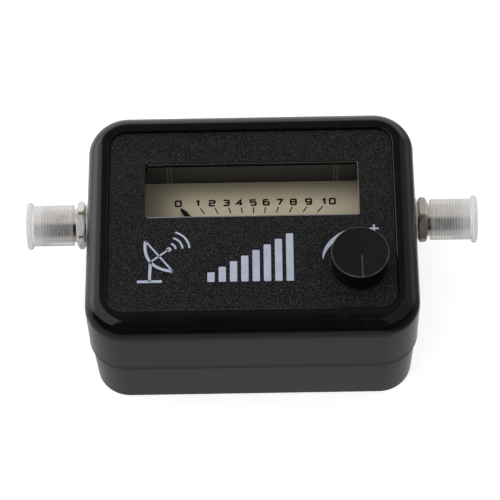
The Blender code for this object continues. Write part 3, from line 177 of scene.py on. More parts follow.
class Graph:
    """The node tree of the world or of a material, whose tree starts as a lone Principled shader."""

    def __init__(self, owner: Union[bpy.types.Material, bpy.types.World]) -> None:
        owner.use_nodes = True
        self.tree = owner.node_tree

    def node(self, kind: str, settings: dict[str, object], sockets: dict[Union[str, int], Socket],
             output: Union[str, int] = 0) -> Wire:
        """Makes any node.

        Args:
            kind: The node's type.
            settings: The node's own settings, set first.
            sockets: Values or wires for its inputs, by name or number.
            output: The output that the result stands for.

        Returns:
            The output as a wire.
        """
        made = self.tree.nodes.new(kind)
        for key, value in settings.items():
            setattr(made, key, value)
        for key, value in sockets.items():
            self.feed(made.inputs[key], value)
        return Wire(self, made.outputs[output])

    def feed(self, socket: bpy.types.NodeSocket, value: Socket) -> None:
        """Links a wire to a socket, or sets the socket's own value."""
        if isinstance(value, Wire):
            self.tree.links.new(value.socket, socket)
        elif isinstance(value, (int, float)):
            socket.default_value = value
        elif len(value) == 3 and len(socket.default_value) == 4:
            socket.default_value = (*value, 1.0)
        else:
            socket.default_value = tuple(value)

    @property
    def shader(self) -> bpy.types.Node:
        """The Principled shader of a material's tree."""
        return self.tree.nodes["Principled BSDF"]

    def principled(self, **values: Socket) -> None:
        """Sets the shader's sockets: base_color stands for Base Color."""
        for key, value in values.items():
            name = " ".join(word.upper() if word == "ior" else word.capitalize() for word in key.split("_"))
            self.feed(self.shader.inputs[name], value)

    def place(self) -> Wire:
        """The place on the piece, in millimetres."""
        where = self.node("ShaderNodeTexCoord", {}, {}, "Object")
        return self.node("ShaderNodeVectorMath", {"operation": "SCALE"}, {0: where, "Scale": 1 / MM})

    def stretched(self, place: Wire, factors: Sequence[float], turn: float = 0.0) -> Wire:
        """A place turned about Z and stretched along its axes."""
        sockets = {"Vector": place, "Angle": turn}
        spun = self.node("ShaderNodeVectorRotate", {"rotation_type": "Z_AXIS"}, sockets)
        return self.vector("MULTIPLY", spun, factors)

    def vector(self, operation: str, first: Socket, second: Socket = (0.0, 0.0, 0.0),
               output: Union[str, int] = 0) -> Wire:
        """One Vector Math node."""
        return self.node("ShaderNodeVectorMath", {"operation": operation}, {0: first, 1: second}, output)

    def parts(self, place: Wire) -> tuple[Wire, Wire, Wire]:
        """X, Y and Z of a place."""
        across = self.node("ShaderNodeSeparateXYZ", {}, {0: place}, "X")
        return across, across.output("Y"), across.output("Z")

    def noise(self, place: Wire, size: float, detail: float = 2.0) -> Wire:
        """Cloudy noise.

        Args:
            place: Where, in millimetres.
            size: The size of a cloud, in millimetres.
            detail: How many finer octaves are added.

        Returns:
            A value about 0.5.
        """
        sockets = {"Vector": place, "Scale": 1 / size, "Detail": detail}
        return self.node("ShaderNodeTexNoise", {}, sockets, "Fac")

    def bands(self, place: Wire, direction: str, pitch: float, distortion: float) -> Wire:
        """Soft stripes.

        Args:
            place: Where, in millimetres.
            direction: The axis that they follow each other along.
            pitch: From one stripe to the next, in millimetres.
            distortion: How far they waver.

        Returns:
            A value from 0 to 1.
        """
        settings = {"wave_type": "BANDS", "bands_direction": direction}
        sockets = {"Vector": place, "Scale": math.pi / 10 / pitch, "Distortion": distortion, "Detail": 1.0}
        return self.node("ShaderNodeTexWave", settings, sockets, "Fac")

    def grey(self, value: Wire) -> Wire:
        """A grey of the given lightness."""
        return self.mix(value, BLACK, WHITE)

    def mix(self, factor: Socket, first: Socket, second: Socket) -> Wire:
        """A colour between two."""
        return self.node("ShaderNodeMix", {"data_type": "RGBA"}, {0: factor, 6: first, 7: second}, 2)

    def bump(self, height: Wire, distance: float, strength: float = 1.0) -> Wire:
        """A normal from a height of 0 to 1, which stands for a distance in millimetres."""
        sockets = {"Strength": strength, "Distance": distance * MM, "Height": height}
        return self.node("ShaderNodeBump", {}, sockets, "Normal")

    def scratches(self, place: Wire) -> Wire:
        """Fine straight marks in two directions, left by use, as a mask."""
        masks = []
        for turn, width in ((0.5, 0.16), (-1.1, 0.22)):
            along = self.stretched(place, (1 / 9, 1 / width, 1 / 3), turn)
            lines = self.noise(along, 1.0, 0.0).rise(0.76, 0.82)
            patches = self.noise(place, 9.0, 0.0).rise(0.6, 0.72)
            masks.append(lines * patches)
        return masks[0] + masks[1]


# Finishes


@dataclass(frozen=True)
class Finish:
    """A finish with a cloudy tint and a fine grain.

    Colours are linear. The cloud and grain sizes and the depth are in millimetres, and spread is how far the
    roughness varies.
    """

    name: str
    color: Color
    tint: Color
    roughness: float
    spread: float = 0.1
    cloud: float = 9.0
    grain: float = 0.5
    depth: float = 0.004
    metallic: float = 0.0
    specular: float = 0.5

    def material(self) -> bpy.types.Material:
        """The material, made anew at each call."""
        material = bpy.data.materials.new(self.name)
        graph = Graph(material)
        graph.principled(metallic=self.metallic, specular_ior_level=self.specular)
        self.dress(graph)
        return material

    def ground(self, graph: Graph, detail: float = 2.0) -> tuple[Wire, Wire, Wire, Wire]:
        """What most finishes start from.

        Args:
            graph: The material's graph.
            detail: How many finer octaves the grain has.

        Returns:
            The place, the cloud, the grain and the cloudy colour.
        """
        place = graph.place()
        cloud = graph.noise(place, self.cloud, 3.0)
        grain = graph.noise(place, self.grain, detail)
        return place, cloud, grain, graph.mix(cloud.rise(0.35, 0.65), self.color, self.tint)

    def dress(self, graph: Graph) -> None:
        """Links what varies over the surface."""
        _, cloud, grain, color = self.ground(graph)
        graph.principled(
            base_color=color,
            roughness=self.roughness + (cloud + grain - 1.0) * self.spread,
            normal=graph.bump(grain, self.depth),
        )


@dataclass(frozen=True)
class MouldedGloss(Finish):
    """Polished moulded plastic with a faint orange peel, dust and a few marks of wear."""

    wear: Color = (0.045, 0.045, 0.048)
    peel: float = 2.2

    def dress(self, graph: Graph) -> None:
        """Links what varies over the surface."""
        place, cloud, grain, color = self.ground(graph, 3.0)
        peel = graph.noise(place, self.peel, 1.0)
        marks = graph.scratches(place)
        dust = grain.rise(0.66, 0.78) * cloud.rise(0.45, 0.7)
        graph.principled(
            base_color=graph.mix(dust * 0.2 + marks * 0.3, color, self.wear),
            roughness=self.roughness + (cloud - 0.5) * self.spread + marks * 0.12 + dust * 0.08,
            normal=graph.bump(peel * 0.8 + grain * 0.2 - marks * 0.2, self.depth),
        )


@dataclass(frozen=True)
class SparkleGrain(Finish):
    """A plate with a fine sparkling grain, like a sprayed texture."""

    fleck: Color = (0.07, 0.07, 0.072)

    def dress(self, graph: Graph) -> None:
        """Links what varies over the surface."""
        place, cloud, coarse, color = self.ground(graph, 1.0)
        fine = graph.noise(place, self.grain * 0.6, 1.0)
        flecks = (coarse * 0.5 + fine * 0.5).rise(0.5, 0.64)
        graph.principled(
            base_color=graph.mix(flecks, color, self.fleck),
            roughness=self.roughness + (cloud - 0.5) * self.spread - flecks * 0.12,
            normal=graph.bump(coarse * 0.65 + fine * 0.35, self.depth),
        )


@dataclass(frozen=True)
class KnobPlastic(Finish):
    """Satin plastic with a light pointer line and scratches, and an edge ring lighter with wear and a painted
    highlight. Lengths are in millimetres.

    The marks fade in between the two depths of skin under the top. The ring lies between its two distances
    from the edge, and the line begins between the two distances of start from the axis.
    """

    axis: Point = (0.0, 0.0)
    top: float = 0.0
    radius: float = 8.0
    groove: float = 0.36
    offset: float = 0.45
    # The light colour of the pointer line, the scratches and the edge ring, where it is also a painted
    # highlight.
    worn: Color = (0.13, 0.13, 0.135)
    skin: Point = (0.2, 0.08)
    ring: Point = (0.24, 0.16)
    blur: float = 0.04
    start: Point = (0.8, 1.1)

    def dress(self, graph: Graph) -> None:
        """Links what varies over the surface."""
        place, cloud, grain, color = self.ground(graph, 3.0)
        shift = graph.vector("SUBTRACT", place, (*self.axis, 0.0))
        across, along, height = graph.parts(shift)
        radius = graph.vector("LENGTH", graph.vector("MULTIPLY", shift, (1.0, 1.0, 0.0)), output="Value")
        near_top = height.rise(self.top - self.skin[0], self.top - self.skin[1])
        # Painted highlight, mixed with wear: the edge ring turns lighter.
        edge = radius.rise(self.radius - self.ring[0], self.radius - self.ring[1]) * near_top
        line = abs(across - self.offset).rise(self.groove / 2 + self.blur, self.groove / 2 - self.blur)
        line = line * along.rise(-self.start[0], -self.start[1]) * near_top
        marks = graph.scratches(place)
        rubbed = graph.noise(place, 2.5, 2.0).rise(0.3, 0.7)
        wear = edge * (0.25 + rubbed * 0.5) + line * (0.4 + rubbed * 0.3) + marks * 0.15
        graph.principled(
            base_color=graph.mix(wear, color, self.worn),
            roughness=self.roughness + (cloud + grain - 1.0) * self.spread - edge * 0.08,
            normal=graph.bump(grain - marks * 0.3, self.depth),
        )


@dataclass(frozen=True)
class ScaleCard(Finish):
    """The printed card: cream with a faint paper grain, and painted shade towards the far side and the left
    end, where the window's walls shade it.

    The far side's painted shade comes in between the two Y of far, and the left end's between the two X
    of left, in millimetres.
    """

    # Painted shade: the next two colours darken the left end and the far side, where the window's walls cast
    # shade.
    shade: Color = (0.32, 0.27, 0.185)
    deep: Color = (0.24, 0.205, 0.135)
    far: Point = (9.0, 20.0)
    left: Point = (-14.0, -30.0)

    def dress(self, graph: Graph) -> None:
        """Links what varies over the surface."""
        place = graph.place()
        cloud = graph.noise(place, self.cloud, 3.0)
        grain = graph.noise(place, self.grain, 3.0)
        across, along, _ = graph.parts(place)
        color = graph.mix(cloud.rise(0.3, 0.7) * 0.5 + grain * 0.2, self.color, self.tint)
        # Painted shade towards the far side, then towards the left end.
        color = graph.mix(along.rise(*self.far), color, self.deep)
        graph.principled(
            base_color=graph.mix(across.rise(*self.left), color, self.shade),
            roughness=self.roughness + (grain - 0.5) * self.spread,
            normal=graph.bump(grain, self.depth),
        )


@dataclass(frozen=True)
class LayeredMoulding(Finish):
    """Matt moulded plastic: level lines left on its walls by the mould, and painted highlights on its ribs'
    edges.

    Each rib stands at a distance from a middle shifted along X, and is twice rib_half wide, in millimetres.
    """

    pitch: float = 0.9372
    rib: float = 23.55
    rib_shift: float = 0.35
    rib_half: float = 0.45
    # Painted highlight: the light colour of the two ribs' edges.
    rubbed: Color = (0.2, 0.19, 0.165)

    def dress(self, graph: Graph) -> None:
        """Links what varies over the surface."""
        place = graph.place()
        cloud = graph.noise(place, self.cloud, 3.0)
        grain = graph.noise(place, self.grain)
        lines = graph.bands(place, "Z", self.pitch, 0.4)
        # Painted highlight: a light line along both edges of each rib.
        from_rib = abs(abs(graph.parts(place)[0] - self.rib_shift) - self.rib)
        edges = from_rib.rise(self.rib_half - 0.2, self.rib_half)
        edges = edges * from_rib.rise(self.rib_half + 0.25, self.rib_half + 0.05)
        color = graph.mix(lines * 0.7 + cloud * 0.3, self.color, self.tint)
        graph.principled(
            base_color=graph.mix(edges * 0.8, color, self.rubbed),
            roughness=self.roughness + (lines - 0.5) * self.spread,
            normal=graph.bump(lines * 0.8 + grain * 0.2, self.depth),
        )


@dataclass(frozen=True)
class Plated(Finish):
    """Plated metal, with fine turning marks and dull patches.

    Painted shade in the tarnish colour starts before the Y of front, and painted dark reflections cover the
    corners outside a radius from the middle and a band along the front of a barrel. Lengths are in
    millimetres, and middle is the Y and Z of the sockets' axis.
    """

    tarnish: Color = (0.3, 0.24, 0.17)
    # The colour of the painted dark reflections.
    grime: Color = (0.02, 0.02, 0.022)
    front: float = -99.0
    corner: float = 99.0
    band: float = 0.0
    middle: Point = (7.1, 26.0)

    def dress(self, graph: Graph) -> None:
        """Links what varies over the surface."""
        place = graph.place()
        cloud = graph.noise(place, self.cloud, 4.0)
        grain = graph.noise(graph.stretched(place, (1.0, 0.12, 0.12)), self.grain, 2.0)
        _, along, height = graph.parts(place)
        patches = cloud.rise(0.5, 0.75) * 0.7
        # Painted shade: before the Y of front the metal darkens to the tarnish colour, on top of its real
        # dull patches.
        front = along.rise(self.front + 0.3, self.front - 0.3) * (0.6 + cloud * 0.6)
        dull_and_shaded = patches + front * (1.0 - patches)
        down = (self.middle[0] - along) * math.cos(math.pi / 6) + (self.middle[1] - height) * 0.5
        flat = graph.vector("MULTIPLY", place, (0.0, 1.0, 1.0))
        radius = graph.vector("LENGTH", graph.vector("SUBTRACT", flat, (0.0, *self.middle)), output="Value")
        # Painted dark reflections: a band along a barrel's front, and a nut's corners.
        dark = down.rise(-1.1, 0.2) * down.rise(3.7, 2.6) * self.band
        dark = dark + radius.rise(self.corner, self.corner + 0.1) * abs(down).rise(5.2, 4.4) * 0.8
        color = graph.mix(dark, graph.mix(grain, self.color, self.tint), self.grime)
        graph.principled(
            base_color=graph.mix(dull_and_shaded, color, self.tarnish),
            roughness=self.roughness + (grain - 0.5) * self.spread + dull_and_shaded * 0.15,
            normal=graph.bump(grain, self.depth),
        )


@dataclass(frozen=True)
class MilkyPlastic(Finish):
    """Translucent natural plastic: denser to the eye at its edges, and ribbed where it grips a thread inside.

    The ribs' pitch and the span that they cover, from the object's middle, are in millimetres. Shade is the
    ribs' colour.
    """

    alpha: float = 0.5
    alpha_spread: float = 0.12
    rim: float = 0.0
    ribs: float = 0.0
    pitch: float = 0.794
    span: Point = (51.0, 60.0)
    shade: Color = (0.42, 0.39, 0.35)

    def dress(self, graph: Graph) -> None:
        """Links what varies over the surface."""
        place = graph.place()
        cloud = graph.noise(graph.stretched(place, (0.5, 1.0, 1.0)), self.cloud, 3.0)
        grain = graph.noise(place, self.grain)
        facing = graph.node("ShaderNodeLayerWeight", {}, {"Blend": 0.5}, "Facing")
        reach = abs(graph.parts(place)[0])
        first, last = self.span
        ribs = graph.bands(place, "X", self.pitch, 0.5)
        ribs = ribs * reach.rise(first, first + 0.8) * reach.rise(last, last - 1.5)
        color = graph.mix(cloud.rise(0.3, 0.7), self.color, self.tint)
        thin = (1.0 - ribs * self.ribs) * (1.0 - facing * 0.4)
        end = reach.rise(last - 5.0, last + 0.5) * reach.rise(last + 2.4, last + 1.6)
        alpha = self.alpha * (thin + end) + facing * self.rim
        graph.principled(
            base_color=graph.mix(ribs * self.ribs, color, self.shade),
            roughness=self.roughness + (cloud + grain - 1.0) * self.spread,
            alpha=alpha + (cloud - 0.5) * self.alpha_spread,
            normal=graph.bump(cloud * 0.7 + grain * 0.3, self.depth),
        )


@dataclass(frozen=True)
class ClearMoulding(Finish):
    """Clear plastic: it lets light straight through, shines at a low angle, and carries a little dust."""

    haze: float = 0.03
    shine: float = 1.0

    def dress(self, graph: Graph) -> None:
        """Links what varies over the surface, and mixes the shader with a transparent one."""
        place = graph.place()
        cloud = graph.noise(place, self.cloud, 3.0)
        marks = graph.scratches(place)
        graph.principled(
            base_color=graph.mix(cloud, self.color, self.tint),
            roughness=self.roughness + (cloud - 0.5) * self.spread,
            normal=graph.bump(cloud, self.depth),
        )
        shine = graph.node("ShaderNodeFresnel", {}, {"IOR": 1.45})
        clear = graph.node("ShaderNodeBsdfTransparent", {}, {})
        factor = shine * self.shine + self.haze * (0.5 + cloud) + marks * 0.03
        surface = Wire(graph, graph.shader.outputs["BSDF"])
        blend = graph.node("ShaderNodeMixShader", {}, {0: factor, 1: clear, 2: surface})
        graph.feed(graph.tree.nodes["Material Output"].inputs["Surface"], blend)


CASE_BLACK = MouldedGloss("black_gloss", (0.0022, 0.0022, 0.0024), (0.003, 0.003, 0.0032), 0.13, 0.06, 14.0,
                          0.35, 0.003)
PANEL_BLACK = SparkleGrain("sparkle_black", (0.0018, 0.0018, 0.0018), (0.003, 0.003, 0.003), 0.46, 0.1, 12.0,
                           0.34, 0.09, specular=0.3)
# A painted highlight: a lighter colour on the plate's bevels that face right and front.
PANEL_EDGE_HIGHLIGHT = Finish("plate_edge", (0.05, 0.05, 0.052), (0.028, 0.028, 0.03), 0.45, 0.1, 2.0, 0.3)
METER_BLACK = LayeredMoulding("meter_black", (0.02, 0.018, 0.015), (0.052, 0.048, 0.041), 0.5, 0.1, 8.0, 0.4,
                              0.03)
CLEAR = ClearMoulding("clear_block", (0.12, 0.12, 0.11), (0.09, 0.09, 0.08), 0.05, 0.03, 5.0, 0.4, 0.001,
                      haze=0.004, shine=0.45)
CLEAR_SIDE = ClearMoulding("clear_side", (0.2, 0.2, 0.19), (0.15, 0.15, 0.14), 0.3, 0.03, 5.0, 0.4, 0.001,
                           haze=0.006, shine=0.06)
# A painted highlight: a light opaque colour on the clear block's chamfers.
CLEAR_EDGE_HIGHLIGHT = Finish("clear_edge", (0.42, 0.41, 0.37), (0.26, 0.25, 0.22), 0.4, 0.1, 5.0, 0.3)
# The card keeps the default colours of painted shade for its far side and left end.
CARD = ScaleCard("cream_card", (0.86, 0.77, 0.54), (0.78, 0.70, 0.48), 0.6, 0.1, 10.0, 0.25, 0.003)
NEEDLE_PAINT = Finish("needle_paint", (0.003, 0.003, 0.0025), (0.006, 0.006, 0.005), 0.5, 0.1, 4.0, 0.3,
                      specular=0.2)
# The nuts' finishes paint dark reflections on the corners beyond NUT_CORNER, and the right nut's finish
# paints shade on its front.
NUT_CORNER = 6.64
NICKEL = Plated("nickel", (0.98, 0.95, 0.91), (0.90, 0.86, 0.81), 0.27, 0.1, 3.0, 0.35, 0.002, 0.3,
                corner=NUT_CORNER)
# The barrel's finish paints a dark reflection band along its front.
BARREL_NICKEL = Plated("barrel_nickel", (0.98, 0.95, 0.88), (0.92, 0.88, 0.80), 0.25, 0.06, 4.0, 0.8, 0.001,
                       0.3, tarnish=(0.55, 0.48, 0.38), band=0.97)
FRONT_SHADED_NICKEL = Plated("stained_nickel", (0.97, 0.92, 0.82), (0.86, 0.80, 0.70), 0.27, 0.1, 3.0, 0.35, 0.002,
                        0.4, tarnish=(0.26, 0.21, 0.155), front=5.2, corner=NUT_CORNER)
WASHER_ZINC = Plated("washer_zinc", (0.95, 0.92, 0.86), (0.85, 0.82, 0.76), 0.3, 0.1, 3.0, 0.35, 0.002, 0.4,
                     tarnish=(0.6, 0.55, 0.46))
ZINC = Plated("zinc", (0.62, 0.62, 0.62), (0.5, 0.5, 0.51), 0.32, 0.14, 3.0, 0.35, 0.002, 1.0,
              tarnish=(0.42, 0.41, 0.38))
BRASS = Plated("brass", (0.66, 0.48, 0.22), (0.56, 0.4, 0.18), 0.28, 0.12, 3.0, 0.3, 0.002, 1.0,
               tarnish=(0.3, 0.2, 0.08))
IRON = Plated("soft_iron", (0.33, 0.33, 0.34), (0.26, 0.26, 0.27), 0.4, 0.15, 4.0, 0.4, 0.004, 1.0,
              tarnish=(0.16, 0.13, 0.1))
COPPER = Plated("enamelled_copper", (0.48, 0.21, 0.09), (0.38, 0.15, 0.06), 0.35, 0.12, 2.0, 0.2, 0.01, 0.7,
                tarnish=(0.28, 0.1, 0.04))
CAP_OUTER = MilkyPlastic("milky_outer", (0.95, 0.94, 0.92), (0.88, 0.87, 0.85), 0.32, 0.1, 4.0, 0.5, 0.01,
                         alpha=0.28, alpha_spread=0.04, rim=0.6, ribs=0.3)
CAP_INNER = MilkyPlastic("milky_inner", (0.83, 0.82, 0.80), (0.76, 0.75, 0.73), 0.45, 0.1, 4.0, 0.5, 0.01,
                         alpha=0.05, alpha_spread=0.02)
INSULATOR = Finish("insulator", (0.78, 0.77, 0.72), (0.7, 0.69, 0.64), 0.4, 0.1, 3.0, 0.4)
LAMP_GLASS = Finish("lamp_glass", (0.8, 0.76, 0.62), (0.7, 0.66, 0.52), 0.1, 0.05, 2.0, 0.4)
BOARD_GREEN = Finish("solder_mask", (0.02, 0.13, 0.05), (0.03, 0.17, 0.07), 0.35, 0.1, 6.0, 0.5, 0.01)
COMPONENT = Finish("component_black", (0.016, 0.016, 0.017), (0.024, 0.024, 0.025), 0.5, 0.1, 4.0, 0.3, 0.01)
SLEEVE = Finish("capacitor_sleeve", (0.02, 0.035, 0.11), (0.028, 0.045, 0.13), 0.32, 0.08, 4.0, 0.4)
# Painted shade: a darker, duller copy of the knob's black plastic for its side.
KNOB_SIDE_SHADE = Finish("knob_side", (0.002, 0.002, 0.0015), (0.003, 0.003, 0.0022), 0.3, 0.08, 5.0, 0.3, 0.003,
                   specular=0.12)
PRINT_WHITE = Finish("print_white", (0.50, 0.54, 0.66), (0.44, 0.48, 0.59), 0.5, 0.1, 3.0, 0.2, 0.006)
PRINT_BLACK = Finish("print_black", (0.004, 0.0035, 0.002), (0.009, 0.0075, 0.004), 0.55, 0.1, 2.0, 0.2,
                     0.004, specular=0.15)


# Mesh helpers


def polar(radius: float, angle: float, middle: Sequence[float] = (0.0, 0.0)) -> Point:
    """The point at a distance and an angle in radians from a middle."""
    return middle[0] + radius * math.cos(angle), middle[1] + radius * math.sin(angle)


def turns(count: int) -> list[float]:
    """The angles of a whole turn in even steps, in radians."""
    return [2 * math.pi * step / count for step in range(count)]


def quarter(steps: int) -> Iterator[Point]:
    """1 - sin and 1 - cos of the angles from 0 to 90 degrees in even steps, for a round edge."""
    for step in range(steps + 1):
        angle = math.pi / 2 * step / steps
        yield 1 - math.sin(angle), 1 - math.cos(angle)


def at_height(outline: Iterable[Point], height: float) -> Ring:
    """An outline at a height."""
    return [Vector((x, y, height)) for x, y in outline]


def circle(radius: float, height: float, sides: int) -> Ring:
    """Points of a level circle about Z, anticlockwise from above."""
    return at_height((polar(radius, angle) for angle in turns(sides)), height)


def rounded_rectangle(half: Point, radius: float, height: float, middle: Sequence[float] = (0.0, 0.0),
                      steps: int = 16) -> Ring:
    """Points of a level rectangle with round corners, anticlockwise from above."""
    points = []
    for number, (side_x, side_y) in enumerate(CORNERS):
        centre = (middle[0] + side_x * (half[0] - radius), middle[1] + side_y * (half[1] - radius))
        points += [polar(radius, (number + step / steps) * math.pi / 2, centre) for step in range(steps + 1)]
    return at_height(points, height)


def loft(rings: Sequence[Ring], closed: bool = False) -> bmesh.types.BMesh:
    """A skin through rings of equal length.

    Args:
        rings: The rings, each anticlockwise seen from the last one.
        closed: Whether the last ring joins the first. Otherwise both ends are capped.

    Returns:
        A new bmesh.
    """
    data = bmesh.new()
    loops = [[data.verts.new(point) for point in ring] for ring in rings]
    pairs = list(zip(loops, loops[1:]))
    if closed:
        pairs.append((loops[-1], loops[0]))
    for low, high in pairs:
        for here in range(len(low)):
            after = (here + 1) % len(low)
            data.faces.new((low[here], low[after], high[after], high[here]))
    if not closed:
        data.faces.new(reversed(loops[0]))
        data.faces.new(loops[-1])
    return data


def eased(corners: Sequence[tuple[float, float, float]], closed: bool = False,
          steps: int = 6) -> list[Point]:
    """A path with round corners.

    Args:
        corners: (x, y, radius) of each corner. A radius of 0 leaves it sharp.
        closed: Whether the path returns to its start.
        steps: How many chords each round corner has.

    Returns:
        The points of the path.
    """
    path: list[Point] = []
    count = len(corners)
    for number, (x, y, radius) in enumerate(corners):
        here = Vector((x, y))
        at_end = not closed and number in (0, count - 1)
        if radius == 0 or at_end:
            path.append((x, y))
            continue
        before = (Vector(corners[number - 1][:2]) - here).normalized()
        after = (Vector(corners[(number + 1) % count][:2]) - here).normalized()
        half = before.angle(after) / 2
        centre = here + (before + after).normalized() * (radius / math.sin(half))
        start = here + before * (radius / math.tan(half)) - centre
        end = here + after * (radius / math.tan(half)) - centre
        sweep = start.angle_signed(end)
        for step in range(steps + 1):
            point = centre + Matrix.Rotation(-sweep * step / steps, 2) @ start
            path.append((point.x, point.y))
    return path


def turned(profile: Sequence[Point], sides: int, closed: bool = False) -> bmesh.types.BMesh:
    """A solid turned about Z through (radius, height) points, upwards on its outside."""
    return loft([circle(radius, height, sides) for radius, height in profile], closed)


def prism(outline: Iterable[Point], low: float, high: float) -> bmesh.types.BMesh:
    """An upright solid with one outline, given anticlockwise, between two heights."""
    points = list(outline)
    return loft([at_height(points, low), at_height(points, high)])


def shifted(data: bmesh.types.BMesh, offset: Sequence[float]) -> bmesh.types.BMesh:
    """The same bmesh, moved."""
    bmesh.ops.translate(data, verts=data.verts, vec=Vector(offset))
    return data


def rod(radius: float, low: float, high: float, sides: int,
        place: Sequence[float] = (0.0, 0.0)) -> bmesh.types.BMesh:
    """An upright cylinder between two heights."""
    return shifted(turned(((radius, low), (radius, high)), sides), (place[0], place[1], 0.0))


def transformed(data: bmesh.types.BMesh, matrix: Matrix) -> bmesh.types.BMesh:
    """The same bmesh, under a transform."""
    bmesh.ops.transform(data, matrix=matrix, verts=data.verts)
    return data


def axis_of(name: str) -> Vector:
    """Where the upright axis of one of the frame's nodes stands, at height 0."""
    low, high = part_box(name)
    return Vector(((low.x + high.x) / 2, (low.y + high.y) / 2, 0.0))


def merged(shapes: Iterable[bmesh.types.BMesh]) -> bmesh.types.BMesh:
    """Several bmeshes as one."""
    whole = bmesh.new()
    for shape in shapes:
        part = bpy.data.meshes.new("part")
        shape.to_mesh(part)
        shape.free()
        whole.from_mesh(part)
        bpy.data.meshes.remove(part)
    return whole


def mesh_object(name: str, data: bmesh.types.BMesh) -> bpy.types.Object:
    """An object that holds a bmesh."""
    mesh = bpy.data.meshes.new(name)
    data.to_mesh(mesh)
    data.free()
    made = bpy.data.objects.new(name, mesh)
    bpy.context.scene.collection.objects.link(made)
    return made


def settled(made: bpy.types.Object) -> None:
    """Replaces an object's mesh with what its modifiers make of it."""
    graph = bpy.context.evaluated_depsgraph_get()
    mesh = bpy.data.meshes.new_from_object(made.evaluated_get(graph))
    made.modifiers.clear()
    old = made.data
    made.data = mesh
    mesh.name = made.name
    bpy.data.meshes.remove(old)


def combine(made: bpy.types.Object, shapes: Iterable[bmesh.types.BMesh], cutting: Cutting) -> None:
    """Takes shapes that don't touch each other out of an object, or adds them to it."""
    tool = mesh_object(f"{made.name}_tool", merged(shapes))
    change = made.modifiers.new("shapes", "BOOLEAN")
    change.object = tool
    change.operation = cutting.value
    change.solver = "EXACT"
    settled(made)
    bpy.data.objects.remove(tool)


def piece(made: bpy.types.Object, finishes: Sequence[Finish], body: Body,
          replaces: Sequence[str] = (), sharp: float = 35.0) -> bpy.types.Object:
    """Finishes a piece and puts it on its body.

    Args:
        made: The piece, in place.
        finishes: Its finishes, one for each material index.
        body: The body that it rides on.
        replaces: The frame's nodes that it stands for.
        sharp: The angle in degrees above which an edge stays sharp.

    Returns:
        The piece.
    """
    made.data.materials.clear()
    for finish in finishes:
        made.data.materials.append(finish.material())
    made.data.shade_smooth()
    made.data.set_sharp_from_angle(angle=math.radians(sharp))
    even = made.modifiers.new("even normals", "WEIGHTED_NORMAL")
    even.keep_sharp = True
    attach(made, body.value)
    if replaces:
        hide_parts(*replaces)
    LOG.info("%s: %d faces on %s, for %s", made.name, len(made.data.polygons), body.value, list(replaces))
    return made


class Ink:
    """Flat strokes and fields of print, each a thin closed solid on a level surface."""

    def __init__(self, level: float, thickness: float = 0.02 * MM) -> None:
        """Starts an empty print.

        Args:
            level: The height of the surface that it lies on.
            thickness: How far the ink stands up.
        """
        self.low = level
        self.high = level + thickness
        self.shapes: list[bmesh.types.BMesh] = []

    def field(self, outline: Sequence[Point]) -> None:
        """Adds a filled outline, given anticlockwise."""
        self.shapes.append(prism(outline, self.low, self.high))

    def stroke(self, path: Sequence[Point], width: float, closed: bool = False) -> None:
        """Adds a line of even width.

        Args:
            path: Its middle line.
            width: Its width.
            closed: Whether it returns to its start.
        """
        points = [Vector(point) for point in path]
        count = len(points)
        rings = []
        for number, point in enumerate(points):
            before = points[number - 1] if closed or number else point
            after = points[(number + 1) % count] if closed or number < count - 1 else point
            ahead = (after - point).normalized() if after != point else (point - before).normalized()
            behind = (point - before).normalized() if before != point else ahead
            along = (ahead + behind).normalized()
            normal = Vector((-along.y, along.x))
            reach = width / 2 / max(along.dot(ahead), 0.4)
            left, right = point + normal * reach, point - normal * reach
            section = ((left, self.low), (right, self.low), (right, self.high), (left, self.high))
            rings.append([Vector((*corner, height)) for corner, height in section])
        self.shapes.append(loft(rings, closed))

    def printed(self, name: str, finish: Finish) -> bpy.types.Object:
        """The print as a piece on the case."""
        made = mesh_object(name, merged(self.shapes))
        data = bmesh.new()
        data.from_mesh(made.data)
        bmesh.ops.recalc_face_normals(data, faces=data.faces)
        data.to_mesh(made.data)
        data.free()
        return piece(made, [finish], Body.CASE)


# Stage and camera


@dataclass(frozen=True)
class SoftBox:
    """A lamp that faces the object.

    Its azimuth counts from +Y, anticlockwise, and its roll is the turn about the line to the object. Angles
    are in degrees, lengths in metres, and a radiance of 1 is white.
    """

    name: str
    azimuth: float
    elevation: float
    distance: float
    size: Point
    radiance: float
    roll: float
    color: Color = (0.94, 0.93, 1.0)

    def add(self) -> None:
        """Adds the lamp to the scene."""
        data = bpy.data.lights.new(self.name, "AREA")
        data.shape = "RECTANGLE"
        data.size, data.size_y = self.size
        data.energy = self.radiance * math.pi * self.size[0] * self.size[1]
        data.color = self.color
        rise = math.radians(self.elevation)
        flat = polar(math.cos(rise), math.radians(self.azimuth) + math.pi / 2)
        direction = Vector((*flat, math.sin(rise)))
        lamp = bpy.data.objects.new(self.name, data)
        bpy.context.scene.collection.objects.link(lamp)
        aim = direction.to_track_quat("Z", "Y").to_matrix().to_4x4()
        spin = Matrix.Rotation(math.radians(self.roll), 4, "Z")
        lamp.matrix_world = Matrix.Translation(direction * self.distance) @ aim @ spin
        lamp.visible_camera = False


